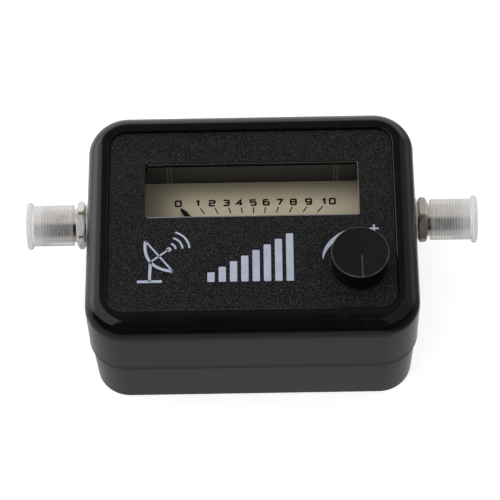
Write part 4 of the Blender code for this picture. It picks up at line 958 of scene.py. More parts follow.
@dataclass
class Studio:
    """A white table under soft boxes, and the camera at the photograph's angle. Angles are in degrees.

    What a mirror sees of the table brightens by the third number of each entry of its light between the two
    Y, and darkens by the third number of its shade between the two X, which are in millimetres.
    """

    target: tuple[float, float, float] = (0.0, 0.0, 20 * MM)
    distance: float = 695.6 * MM
    elevation: float = 59.92
    yaw: float = 1.326
    roll: float = -2.103
    shift: Point = (-0.724 * MM, 1.367 * MM)
    lens: float = 176.0
    film: float = 36.0
    table: float = 4.0
    table_dim: float = 0.17
    table_light: tuple[tuple[float, float, float], ...] = (
        (-700.0, -50.0, 0.24), (-40.0, 60.0, 0.6), (100.0, 200.0, 0.9),
    )
    table_shade: tuple[float, float, float] = (60.0, 100.0, 0.75)
    seen: Color = (0.62, 0.62, 0.62)
    lamps: tuple[SoftBox, ...] = (
        SoftBox("left_softbox", 80.0, 40.0, 0.9, (1.7, 0.76), 0.92, 42.0),
        SoftBox("right_softbox", -92.0, 40.0, 0.9, (2.0, 0.95), 0.22, -30.0),
    )

    def build(self) -> None:
        """Makes the camera, the table, the surroundings and the lamps."""
        self.add_camera()
        self.add_table()
        self.add_surroundings()
        for lamp in self.lamps:
            lamp.add()
        bpy.context.scene.view_settings.view_transform = "Standard"

    def add_camera(self) -> None:
        """Places the camera."""
        up_angle, side_angle, tilt = (math.radians(value) for value in (self.elevation, self.yaw, self.roll))
        level = math.cos(up_angle)
        back = Vector((math.sin(side_angle) * level, -math.cos(side_angle) * level, math.sin(up_angle)))
        right = Vector((math.cos(side_angle), math.sin(side_angle), 0.0))
        up = back.cross(right)
        turned_right = right * math.cos(tilt) + up * math.sin(tilt)
        turned_up = up * math.cos(tilt) - right * math.sin(tilt)
        place = Vector(self.target) + back * self.distance
        place += turned_right * self.shift[0] + turned_up * self.shift[1]
        data = bpy.data.cameras.new("camera")
        data.lens = self.lens
        data.sensor_width = self.film
        data.sensor_fit = "HORIZONTAL"
        camera = bpy.data.objects.new("camera", data)
        bpy.context.scene.collection.objects.link(camera)
        axes = Matrix((turned_right, turned_up, back)).transposed()
        camera.matrix_world = Matrix.Translation(place) @ axes.to_4x4()
        bpy.context.scene.camera = camera

    def add_table(self) -> None:
        """Adds the table, which camera and glass see as white round the object's soft shadow, and mirrors see
        with its painted light and shade.
        """
        half = self.table / 2
        data = bmesh.new()
        data.faces.new([data.verts.new((x * half, y * half, 0.0)) for x, y in CORNERS])
        table = mesh_object("table", data)
        material = bpy.data.materials.new("white_table")
        graph = Graph(material)
        place = graph.place()
        across, along, _ = graph.parts(place)
        bright = sum((along.rise(start, end) * gain for start, end, gain in self.table_light), self.table_dim)
        shaded = bright * (1.0 - across.rise(*self.table_shade[:2]) * self.table_shade[2])
        camera = graph.node("ShaderNodeLightPath", {}, {}, "Is Camera Ray")
        mirror = camera.output("Is Glossy Ray")
        through = camera.output("Is Transmission Ray")
        seen = graph.mix(mirror, BLACK, graph.grey(shaded))
        tint = graph.noise(place, 40.0, 2.0)
        albedo = graph.mix(mirror, graph.mix(tint, (0.80, 0.80, 0.80), (0.78, 0.78, 0.78)), BLACK)
        graph.principled(
            base_color=albedo,
            roughness=0.8,
            specular_ior_level=0.0,
            emission_color=graph.mix(camera + through, seen, self.seen),
            emission_strength=1.0,
        )
        table.data.materials.append(material)

    def add_surroundings(self) -> None:
        """Sets the world: white to the camera, and to mirrors a white backdrop under a dark ceiling."""
        world = bpy.data.worlds.new("studio")
        bpy.context.scene.world = world
        graph = Graph(world)
        rays = graph.node("ShaderNodeLightPath", {}, {}, "Is Camera Ray")
        mirror = rays.output("Is Glossy Ray") + rays.output("Is Transmission Ray")
        across, along, height = graph.parts(graph.node("ShaderNodeTexCoord", {}, {}, "Generated"))
        behind = along.rise(-0.1, 0.4)
        middle = across.rise(0.8, 0.45)
        backdrop = (height.rise(0.42, 0.08) * 0.3 + middle * height.rise(0.5, 0.2) * 1.9) * behind
        ceiling = 0.022 + height.rise(0.75, 1.0) * 0.035 + behind * 0.09
        front = height.rise(0.2, 0.5) * along.rise(-0.6, -0.9) * 0.03
        light = graph.mix(mirror, (0.62, 0.62, 0.63), graph.grey(backdrop + ceiling + front))
        color = graph.mix(rays, light, WHITE)
        background = world.node_tree.nodes["Background"]
        graph.feed(background.inputs["Color"], color)
        background.inputs["Strength"].default_value = 1.0


# Case


@dataclass
class Casing:
    """The two shells and their screws."""

    wall: float = 2.0 * MM
    roof: float = 1.9 * MM
    floor: float = 2.0 * MM
    corner: float = 11.3 * MM
    gap: float = 0.3 * MM
    rim_width: float = 6.45 * MM
    rim_inner: float = 0.4 * MM
    rim_flat: float = 0.1 * MM
    draft: float = 0.3 * MM
    side_flare: float = 0.24 * MM
    front_flare: float = 0.14 * MM
    flare_height: float = 2.2 * MM
    lower_widening: float = 0.1 * MM
    lower_inset: float = 0.5 * MM
    lower_draft: float = 0.6 * MM
    lower_corner: float = 10.9 * MM
    bottom_edge: float = 0.5 * MM
    seam_edge: float = 0.15 * MM
    lip_height: float = 1.6 * MM
    lip_thickness: float = 1.2 * MM
    recess_corner: float = 4.8 * MM
    post: float = 3.5 * MM
    screw_head: float = 2.6 * MM
    screw_recess: float = 3.1 * MM
    screw_bore: float = 1.6 * MM
    head_centre: float = 0.6 * MM
    head_round: float = 0.6 * MM
    head_taper: float = 0.2 * MM
    head_rim: float = 0.3 * MM
    shank: float = 1.3 * MM
    cross: Point = (1.6 * MM, 0.3 * MM)
    cross_depth: float = 1.0 * MM
    standoff: float = 2.5 * MM
    board_pilot: float = 1.3 * MM
    overrun: float = 1.0 * MM
    sink: float = 0.4 * MM
    fillet_steps: int = 18

    def build(self) -> None:
        """Builds both shells and the screws."""
        self.upper_shell()
        self.lower_shell()
        for number in SCREWS:
            self.screw(number)

    @staticmethod
    def post_places() -> list[Vector]:
        """The axes of the four screws."""
        return [axis_of(f"case_screw_{number}") for number in SCREWS]

    def upper_shell(self) -> None:
        """The upper shell: walls with a wide round rim, the recess for the plate, posts and openings."""
        low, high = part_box("upper_case")
        panel_low, panel_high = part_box("face_panel")
        half = Vector((high.x, high.y))
        recess = Vector((panel_high.x, panel_high.y)) + Vector((self.gap, self.gap))
        recess_floor = panel_low.z - self.gap
        roof_bottom = recess_floor - self.roof
        radius = self.rim_width - self.gap - self.rim_inner - self.rim_flat
        shoulder = high.z - radius

        def outer(inset: float, height: float) -> Ring:
            """One ring of the outside, wider towards the seam, where front and back flare a little."""
            widening = self.side_flare * max(0.0, (shoulder - height) / (shoulder - low.z))
            flare = self.front_flare * max(0.0, 1 - (height - low.z) / self.flare_height) ** 1.5
            size = (half.x - inset + widening, half.y - inset + flare)
            return rounded_rectangle(size, self.corner - inset, height)

        def inner(grow: float, height: float) -> Ring:
            """One ring of the cavity."""
            size = (half.x - self.wall + grow, half.y - self.wall + grow)
            return rounded_rectangle(size, self.corner - self.wall + grow, height)

        def recessed(out: float, height: float) -> Ring:
            """One ring of the recess for the plate."""
            return rounded_rectangle((recess.x + out, recess.y + out), self.recess_corner + out, height)

        wall_bottom = low.z + self.seam_edge
        rings = [inner(-self.wall / 2, roof_bottom), inner(0.0, roof_bottom - self.wall / 2),
                 inner(0.0, low.z)]
        for inset, rise in quarter(6):
            rings.append(outer(self.draft + self.seam_edge * inset, low.z + self.seam_edge * rise))
        for share in (0.25, 0.5, 0.75, 1.0):
            rings.append(outer(self.draft, wall_bottom + (self.flare_height - self.seam_edge) * share))
        for drop, inset in quarter(self.fillet_steps):
            rings.append(outer(radius * inset, high.z - radius * drop))
        for out, drop in quarter(6):
            rings.append(recessed(self.rim_inner * out, high.z - self.rim_inner * drop))
        rings.append(recessed(0.0, recess_floor))
        shell = mesh_object("upper_shell", loft(rings))
        pilot = (low.z - self.overrun, roof_bottom - 2 * self.sink)
        post = (low.z, roof_bottom + self.sink)
        posts = [rod(self.post, *post, Sides.POST, place) for place in self.post_places()]
        pilots = [rod(self.screw_bore, *pilot, Sides.PILOT, place) for place in self.post_places()]
        openings = face_openings(roof_bottom - self.overrun, recess_floor + self.overrun)
        combine(shell, posts, Cutting.ADD)
        combine(shell, pilots + openings + self.socket_holes(), Cutting.TAKE)
        piece(shell, [CASE_BLACK], Body.CASE, ["upper_case"])

    def socket_holes(self) -> list[bmesh.types.BMesh]:
        """The round holes for the socket barrels."""
        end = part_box("upper_case")[1].x
        holes = []
        for socket in map(CoaxialSocket, Side):
            ends = (end - self.wall - self.overrun, end + self.overrun)
            hole = rod(socket.thread + self.gap, *ends, Sides.OPENING)
            holes.append(transformed(hole, socket.matrix()))
        return holes

    def lower_shell(self) -> None:
        """The lower shell: a tray with a tongue, screw tubes and board standoffs."""
        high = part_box("lower_case")[1]
        top = high.z - self.lip_height
        upper_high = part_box("upper_case")[1]
        inset_top = self.draft + self.lower_inset
        inset_bottom = inset_top + self.lower_draft
        half = Vector((upper_high.x, upper_high.y))

        def ring(inset: float, height: float, corner: float) -> Ring:
            """One ring of the outside or of the tongue."""
            widening = self.lower_widening if corner < self.corner else 0.0
            return rounded_rectangle((half.x - inset + widening, half.y - inset), corner - inset, height)

        rings = []
        foot, edge, corner = self.bottom_edge, self.seam_edge, self.lower_corner
        for out, rise in quarter(8):
            rings.append(ring(inset_bottom + foot * out, foot * rise, corner))
        for drop, inset in quarter(3):
            rings.append(ring(inset_top + edge * inset, top - edge * drop, corner))
        lip_outer = self.wall + self.gap
        lip_inner = lip_outer + self.lip_thickness
        half_wall = self.wall / 2
        for inset, height in ((lip_outer, top), (lip_outer, high.z), (lip_inner, high.z),
                              (lip_inner, self.floor + half_wall), (lip_inner + half_wall, self.floor)):
            rings.append(ring(inset, height, self.corner))
        shell = mesh_object("lower_shell", loft(rings))
        head = self.screw_head + self.gap
        bore = ((head + edge, -self.overrun), (head + edge, 0.0), (head, edge), (head, self.screw_recess),
                (self.screw_bore, self.screw_recess), (self.screw_bore, top + self.overrun))
        tube_bottom, board_bottom = self.floor - self.sink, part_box("circuit_board")[0].z
        tubes = [rod(self.post, tube_bottom, top, Sides.POST, place) for place in self.post_places()]
        bores = [shifted(turned(bore, Sides.SCREW), place) for place in self.post_places()]
        for name in (f"board_screw_{number}" for number in SCREWS):
            pilot = (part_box(name)[0].z - self.gap, board_bottom + self.overrun)
            tubes.append(rod(self.standoff, tube_bottom, board_bottom - self.gap, Sides.PILOT, axis_of(name)))
            bores.append(rod(self.board_pilot, *pilot, Sides.PIN, axis_of(name)))
        combine(shell, tubes, Cutting.ADD)
        combine(shell, bores, Cutting.TAKE)
        piece(shell, [CASE_BLACK], Body.CASE, ["lower_case"])

    def screw(self, number: int) -> None:
        """One self-tapping screw: a pan head with a cross recess, and a pointed shank."""
        name = f"case_screw_{number}"
        low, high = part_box(name)
        place = axis_of(name)
        head_end = self.screw_recess - self.gap
        shank, head = self.shank, self.screw_head
        profile = eased((
            (self.head_centre, low.z, 0.0),
            (head - self.head_taper, low.z, self.head_round),
            (head, head_end - self.head_rim, self.head_taper),
            (head, head_end, 0.0),
            (shank, head_end, 0.0),
            (shank, high.z - shank, 0.0),
            (shank / 4, high.z, 0.0),
        ), steps=5)
        screw = mesh_object(f"{name}_fine", shifted(turned(profile, Sides.SCREW), place))
        length, width = self.cross
        sections = ((1.1, low.z - self.overrun), (1.0, low.z), (0.45, low.z + self.cross_depth))
        for turn in (0.0, math.pi / 2):
            slot = loft([
                at_height([(x * length * scale, y * width * scale) for x, y in CORNERS], height)
                for scale, height in sections
            ])
            spin = Matrix.Translation(place) @ Matrix.Rotation(turn, 4, "Z")
            combine(screw, [transformed(slot, spin)], Cutting.TAKE)
        piece(screw, [ZINC], Body.CASE, [name])


# Face


def face_openings(low: float, high: float) -> list[bmesh.types.BMesh]:
    """The window and the shaft hole, between two heights."""
    control = GainControl()
    return [Window().hole(low, high), rod(control.hole, low, high, Sides.OPENING, control.axis())]


@dataclass
class Window:
    """The clear block in the face, and the sizes of its opening."""

    corner: float = 0.9 * MM
    gap: float = 0.3 * MM
    skin: float = 1.0 * MM
    side_skin: float = 0.35 * MM
    flange: float = 1.0 * MM
    chamfer: float = 0.25 * MM
    card_margin: float = 1.2 * MM

    @staticmethod
    def block_box() -> tuple[Vector, Vector]:
        """The box of the raised block alone, read from the top of the cover's mesh."""
        mesh = bpy.data.objects["meter_cover"].data
        top = max(vertex.co.z for vertex in mesh.vertices)
        points = [vertex.co for vertex in mesh.vertices if vertex.co.z > top - 0.01 * MM]
        low = Vector((min(p.x for p in points), min(p.y for p in points), top))
        high = Vector((max(p.x for p in points), max(p.y for p in points), top))
        return low, high

    def ring(self, inset: float, height: float, radius: float) -> Ring:
        """The outline of the block, in from its walls by an inset."""
        low, high = self.block_box()
        half = ((high.x - low.x) / 2 - inset, (high.y - low.y) / 2 - inset)
        return rounded_rectangle(half, radius, height, (low + high) / 2, 6)

    def hole(self, low: float, high: float) -> bmesh.types.BMesh:
        """The block's hole in the face, between two heights."""
        return loft([self.ring(-self.gap, height, self.corner) for height in (low, high)])

    def build(self) -> None:
        """Builds the clear cover: a flange on the tray, and a hollow block that fills the window."""
        low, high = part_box("meter_cover")
        control = GainControl()
        bay = control.axis().x - control.pot - control.pot_to_bay
        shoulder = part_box("scale_plate")[0].y - self.gap - self.card_margin
        outline = [(-bay, low.y), (bay, low.y), (bay, shoulder), (high.x, shoulder), (high.x, high.y),
                   (low.x, high.y), (low.x, shoulder), (-bay, shoulder)]
        cover = mesh_object("window_block", prism(outline, low.z, low.z + self.flange))
        radius = self.corner - self.gap
        block_middle = sum(corner.y for corner in self.block_box()) / 2
        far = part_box("face_panel")[1].z - self.chamfer / 2
        walls = ((0.0, low.z + self.flange / 2), (-self.gap / 2, far - self.chamfer),
                 (self.chamfer - self.gap / 2, far))
        cavity = (low.z - self.flange, far - self.skin)
        combine(cover, [loft([self.ring(inset, height, radius) for inset, height in walls])], Cutting.ADD)
        combine(cover, [loft([self.ring(self.side_skin, height, radius) for height in cavity])], Cutting.TAKE)
        piece(cover, [CLEAR, CLEAR_EDGE_HIGHLIGHT, CLEAR_SIDE, METER_BLACK], Body.CASE, ["meter_cover"])
        # Index 1 paints a highlight: a light opaque colour on the chamfers that face right, front and back.
        rim, side, dark = 1, 2, 3
        for face in cover.data.polygons:
            if abs(face.normal.z) < UPRIGHT:
                far_wall = face.normal.y < -0.7 and face.center.y > block_middle
                face.material_index = dark if far_wall else side
            elif 0.0 < face.normal.z < LEVEL:
                face.material_index = side if face.normal.x < -UPRIGHT else rim


@dataclass
class FacePlate:
    """The grained plate in the recess and its print. Angles are in degrees."""

    corner: float = 4.5 * MM
    edge: float = 0.2 * MM
    grow: float = 0.18 * MM
    overrun: float = 1.0 * MM
    crescent_inner: float = 10.25 * MM
    crescent_wide: float = 11.95 * MM
    crescent_from: float = 167.0
    crescent_to: float = 105.0
    crescent_growth: float = 0.55
    crescent_skin: float = 0.05 * MM
    plus_angle: float = 70.0
    plus_reach: float = 12.6 * MM
    plus_size: float = 2.5 * MM
    plus_line: float = 0.55 * MM
    line: float = 0.8 * MM
    dish_middle: Point = (-25.5 * MM, -11.6 * MM)
    dish_tilt: float = 38.0
    dish_depth: float = 3.0 * MM
    dish_mouth: float = 6.2 * MM
    feed_reach: float = 3.4 * MM
    feed_radius: float = 0.7 * MM
    waves: int = 3
    wave_pitch: float = 1.9 * MM
    wave_spread: float = 34.0
    foot_level: float = -19.6 * MM
    foot_ends: Point = (-3.6 * MM, 3.2 * MM)
    foot_lean: float = -0.2 * MM
    bars: int = 8
    bar_start: float = -12.2 * MM
    bar_pitch: float = 3.1 * MM
    bar_width: float = 2.0 * MM
    bar_height: float = 2.2 * MM
    bar_rise: float = 12.0 * MM
    bar_corner: float = 0.3 * MM

    def build(self) -> None:
        """Builds the plate and prints it."""
        low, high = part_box("face_panel")
        edge, third = self.edge, self.edge / 3
        rings = []
        for inset, height in ((0.0, low.z), (0.0, high.z - edge), (third, high.z - third), (edge, high.z)):
            inset -= self.grow
            rings.append(rounded_rectangle((high.x - inset, high.y - inset), self.corner - inset, height))
        plate = mesh_object("face_plate", loft(rings))
        combine(plate, face_openings(low.z - self.overrun, high.z + self.overrun), Cutting.TAKE)
        piece(plate, [PANEL_BLACK, PANEL_EDGE_HIGHLIGHT], Body.CASE, ["face_panel"])
        # Index 1 paints a highlight on the bevels of the plate's right and front edges.
        for face in plate.data.polygons:
            bright_side = face.normal.x > UPRIGHT or face.normal.y < -UPRIGHT
            face.material_index = int(UPRIGHT < face.normal.z < LEVEL and bright_side)
        self.print_gain(high.z)
        self.print_dish(high.z)
        self.print_bars(high.z)

    def print_gain(self, level: float) -> None:
        """A crescent that widens clockwise round the knob, and a plus sign at its wide end."""
        axis = GainControl.axis()
        steps = 40
        outer, inner = [], []
        for share in (step / steps for step in range(steps + 1)):
            angle = math.radians(self.crescent_from + (self.crescent_to - self.crescent_from) * share)
            growth = (self.crescent_wide - self.crescent_inner) * share ** self.crescent_growth
            outer.append(polar(self.crescent_inner + growth, angle, axis))
            inner.append(polar(self.crescent_inner - self.crescent_skin, angle, axis))
        ink = Ink(level)
        ink.field(outer[::-1] + inner)
        ink.printed("gain_crescent", PRINT_WHITE)
        middle = polar(self.plus_reach, math.radians(self.plus_angle), axis)
        half, thick = self.plus_size / 2, self.plus_line / 2
        outline = []
        for x, y in CORNERS:
            arm = [(half * x, thick * y), (thick * x, thick * y), (thick * x, half * y)]
            outline += arm if x == y else arm[::-1]
        sign = Ink(level)
        sign.field([(middle[0] + x, middle[1] + y) for x, y in outline])
        sign.printed("gain_plus", PRINT_WHITE)

    def print_dish(self, level: float) -> None:
        """A plain dish on its foot, with waves before it."""
        dish = Ink(level)
        spin = Matrix.Rotation(math.radians(self.dish_tilt), 2)

        def placed(along: float, across: float) -> Point:
            """A point of the dish's own tilted frame, on the plate."""
            return tuple(Vector(self.dish_middle) + spin @ Vector((along, across)))

        bowl = [placed(-self.dish_depth * (1 - share * share), self.dish_mouth * share)
                for share in (step / 12 - 1 for step in range(25))]
        root, feed = placed(-self.dish_depth, 0.0), placed(self.feed_reach, 0.0)
        dish.stroke(bowl, self.line)
        dish.stroke([bowl[0], bowl[-1]], self.line * 0.6)
        dish.stroke([root, feed], self.line * 0.6)
        dish.field([polar(self.feed_radius, angle, feed) for angle in turns(Sides.PIN)])
        dish.stroke([root, (root[0] + self.foot_lean, self.foot_level)], self.line)
        dish.stroke([(root[0] + end, self.foot_level) for end in self.foot_ends], self.line)
        angles = [math.radians(self.dish_tilt + self.wave_spread * (step / 5 - 1)) for step in range(11)]
        for number in range(1, self.waves + 1):
            dish.stroke([polar(self.wave_pitch * number, angle, feed) for angle in angles], self.line * 0.7)
        dish.printed("dish_mark", PRINT_WHITE)

    def print_bars(self, level: float) -> None:
        """A row of rising bars."""
        row = Ink(level)
        bottom = self.foot_level - self.line / 2
        for number in range(self.bars):
            left = self.bar_start + self.bar_pitch * number
            right = left + self.bar_width
            top = bottom + self.line + self.bar_height + self.bar_rise * number / (self.bars - 1)
            corners = ((left, bottom), (right, bottom), (right, top), (left, top))
            row.field(eased([(*corner, self.bar_corner) for corner in corners], True, 4))
        row.printed("level_bars", PRINT_WHITE)


# Meter


class Figures:
    """Plain figures on a grid: x runs from 0 to 1 and y from 0 to 2. A third number marks a sharp corner."""

    CLOSED = {"0": [((0, 0), (1, 0), (1, 2), (0, 2))], "8": [((0, 0), (1, 0), (1, 2), (0, 2))]}
    OPEN = {
        "1": [((0.25, 1.5), (0.66, 1.98, 0), (0.66, 0))],
        "2": [((0, 1.5), (0, 2), (1, 2), (1, 1.05), (0, 0.95), (0, 0), (1.02, 0))],
        "3": [((0, 2), (1, 2), (1, 0), (0, 0)), ((0.3, 1.03), (0.98, 1.03))],
        "4": [((0.76, 0), (0.76, 1.98, 0), (0, 0.62, 0), (1.08, 0.62))],
        "5": [((0.98, 2), (0, 2, 0), (0, 1.15, 0), (1, 1.15), (1, 0), (0, 0))],
        "6": [((0.92, 2), (0, 2), (0, 0), (1, 0), (1, 1.15), (0.02, 1.15))],
        "7": [((0, 2), (1.02, 2, 0), (0.42, 0))],
        "8": [((0.05, 1.03), (0.95, 1.03))],
        "9": [((0.08, 0), (1, 0), (1, 2), (0, 2), (0, 0.85), (0.98, 0.85))],
    }
    ROUND = 0.3

    @classmethod
    def draw(cls, ink: Ink, word: str, middle: Point, size: Point, line: float) -> None:
        """Adds a word's figures to a print.

        Args:
            ink: The print.
            word: The figures.
            middle: The middle of the word.
            size: The width and height of one figure, to the middle of its lines.
            line: The width of its lines.
        """
        advance = size[0] + 1.7 * line
        start = middle[0] - (advance * (len(word) - 1) + size[0]) / 2
        for number, letter in enumerate(word):
            left = start + number * advance
            for shapes, closed in ((cls.CLOSED, True), (cls.OPEN, False)):
                for path in shapes.get(letter, []):
                    radius = cls.ROUND * size[1] / 2
                    corners = [
                        (left + x * size[0], middle[1] + (y / 2 - 0.5) * size[1], 0.0 if sharp else radius)
                        for x, y, *sharp in path
                    ]
                    ink.stroke(eased(corners, closed, 5), line, closed)


@dataclass
class Meter:
    """The dial: its card, print, needle and movement. Places of ticks and figures are in millimetres."""

    tick_places: tuple[float, ...] = (-19.4, -14.0, -10.0, -6.2, -2.8, 0.5, 3.8, 7.3, 11.1, 15.1, 19.4)
    tick_middle: float = 0.5
    tick_reach: float = 23.0
    tick_ends: Point = (8.3 * MM, 10.15 * MM)
    tick_line: float = 0.34 * MM
    figure_places: tuple[float, ...] = (-20.8, -15.3, -11.2, -7.2, -3.5, 0.45, 4.15, 7.9, 11.85, 16.15, 21.7)
    figure_level: float = 11.75 * MM
    figure_size: Point = (1.5 * MM, 1.7 * MM)
    figure_line: float = 0.54 * MM
    # Painted shadow: the pointer is wider than the real one, so that its black also stands for its shadow on
    # the card.
    needle_width: float = 1.3 * MM
    needle_taper: float = 1.7 * MM
    needle_margin: float = 0.5 * MM
    needle_hub: float = 1.5 * MM
    weight: float = 1.0 * MM
    weight_place: float = -5.0 * MM
    needle_bore: float = 0.75 * MM

    def build(self) -> None:
        """Prints the card, and dresses the nodes that stay as they are."""
        self.print_scale()
        self.needle()
        dress_nodes(CARD, "scale_plate")
        dress_nodes(METER_BLACK, "meter_base")
        dress_nodes(IRON, "meter_yoke magnet_core")
        dress_nodes(BRASS, "meter_bridge upper_jewel_screw lower_jewel_screw left_stop right_stop hairspring "
                           "left_terminal right_terminal")
        dress_nodes(LAMP_GLASS, "left_lamp right_lamp")
        dress_nodes(ZINC, "upper_staff lower_staff")
        dress_nodes(COPPER, "moving_coil")

    def needle(self) -> None:
        """The pointer: a flat bar with a narrow tip, a round hub on the staff and a counterweight."""
        low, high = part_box("needle")
        pivot = axis_of("upper_staff")
        tip = Vector((low.x, high.y, 0)) - pivot
        length = tip.length - self.needle_margin
        half = self.needle_width / 2
        edge: list[Point] = []
        for middle, radius, start in ((self.weight_place, self.weight, -math.pi / 2),
                                      (0.0, self.needle_hub, -math.acos(half / self.needle_hub))):
            end = math.acos(half / radius)
            edge += [polar(radius, start + (end - start) * step / 16, (0.0, middle)) for step in range(17)]
        edge += [(half, length - self.needle_taper), (half * 0.4, length)]
        outline = edge + [(-x, y) for x, y in reversed(edge[1:])]
        turn = Matrix.Translation(pivot) @ Matrix.Rotation(math.atan2(-tip.x, tip.y), 4, "Z")
        pointer = mesh_object("pointer", transformed(prism(outline, low.z, high.z), turn))
        bore = rod(self.needle_bore, low.z - self.needle_hub, high.z + self.needle_hub, Sides.PILOT, pivot)
        combine(pointer, [bore], Cutting.TAKE)
        piece(pointer, [NEEDLE_PAINT], Body.NEEDLE, ["needle"])

    def print_scale(self) -> None:
        """Eleven ticks and the figures 0 to 10."""
        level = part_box("scale_plate")[1].z
        ticks = Ink(level)
        figures = Ink(level)
        middle = sum(self.tick_ends) / 2
        for number, (tick, figure) in enumerate(zip(self.tick_places, self.figure_places)):
            slope = (tick - self.tick_middle) / self.tick_reach
            ends = [(tick * MM + (end - middle) * slope, end) for end in self.tick_ends]
            ticks.stroke(ends, self.tick_line)
            place = (figure * MM, self.figure_level)
            Figures.draw(figures, str(number), place, self.figure_size, self.figure_line)
        ticks.printed("scale_ticks", PRINT_BLACK)
        figures.printed("scale_figures", PRINT_BLACK)


# Gain control


@dataclass
class GainControl:
    """The knob and the potentiometer under it."""

    hole: float = 3.9 * MM
    pot: float = 8.0 * MM
    pot_to_bay: float = 3.1 * MM
    edge: float = 0.3 * MM
    land: float = 0.25 * MM
    step: float = 0.1 * MM
    draft: float = 0.1 * MM
    taper: float = 0.25 * MM
    foot_edge: float = 0.2 * MM
    skirt: float = 1.45 * MM
    bore: float = 3.3 * MM
    roof: float = 1.0 * MM
    nut_room: float = 0.6 * MM
    cavity_edge: float = 0.4 * MM
    groove: float = 0.36 * MM
    overrun: float = 1.0 * MM
    sides: int = 128

    @staticmethod
    def axis() -> Vector:
        """The knob's axis."""
        return axis_of("knob")

    def build(self) -> None:
        """Builds the knob, and dresses the potentiometer."""
        low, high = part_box("knob")
        axis = self.axis()
        radius = (high.x - low.x) / 2
        top_radius = radius - self.draft
        cavity_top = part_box("pot_nut")[1].z + self.nut_room
        profile = eased((
            (self.bore / 4, high.z - self.roof, 0.0),
            (self.bore, high.z - self.roof, 0.0),
            (self.bore, cavity_top, 0.0),
            (radius - self.skirt, cavity_top, self.cavity_edge),
            (radius - self.skirt, low.z, 0.0),
            (radius - self.taper, low.z, self.foot_edge),
            (radius, high.z - self.step - self.edge, self.foot_edge),
            (top_radius, high.z, self.edge),
            (top_radius - self.land - self.step, high.z, self.step / 2),
            (top_radius - self.land - self.step, high.z - self.step, self.step / 2),
            (self.bore / 4, high.z - self.step, 0.0),
        ), steps=5)
        knob = mesh_object("gain_knob", shifted(turned(profile, self.sides), axis))
        top = KnobPlastic("knob_black", (0.0065, 0.0065, 0.007), (0.0085, 0.0085, 0.009), 0.38, 0.08, 9.0,
                          0.3, 0.003, specular=0.35, axis=(axis.x / MM, axis.y / MM), top=high.z / MM,
                          radius=top_radius / MM, groove=self.groove / MM)
        piece(knob, [top, KNOB_SIDE_SHADE], Body.KNOB, ["knob"])
        # The side below the top edge takes the darker copy of the plastic, a painted shade.
        for face in knob.data.polygons:
            face.material_index = int(face.center.z <= high.z - self.edge)
        dress_nodes(ZINC, "potentiometer pot_shaft pot_washer pot_nut")


# Coaxial sockets


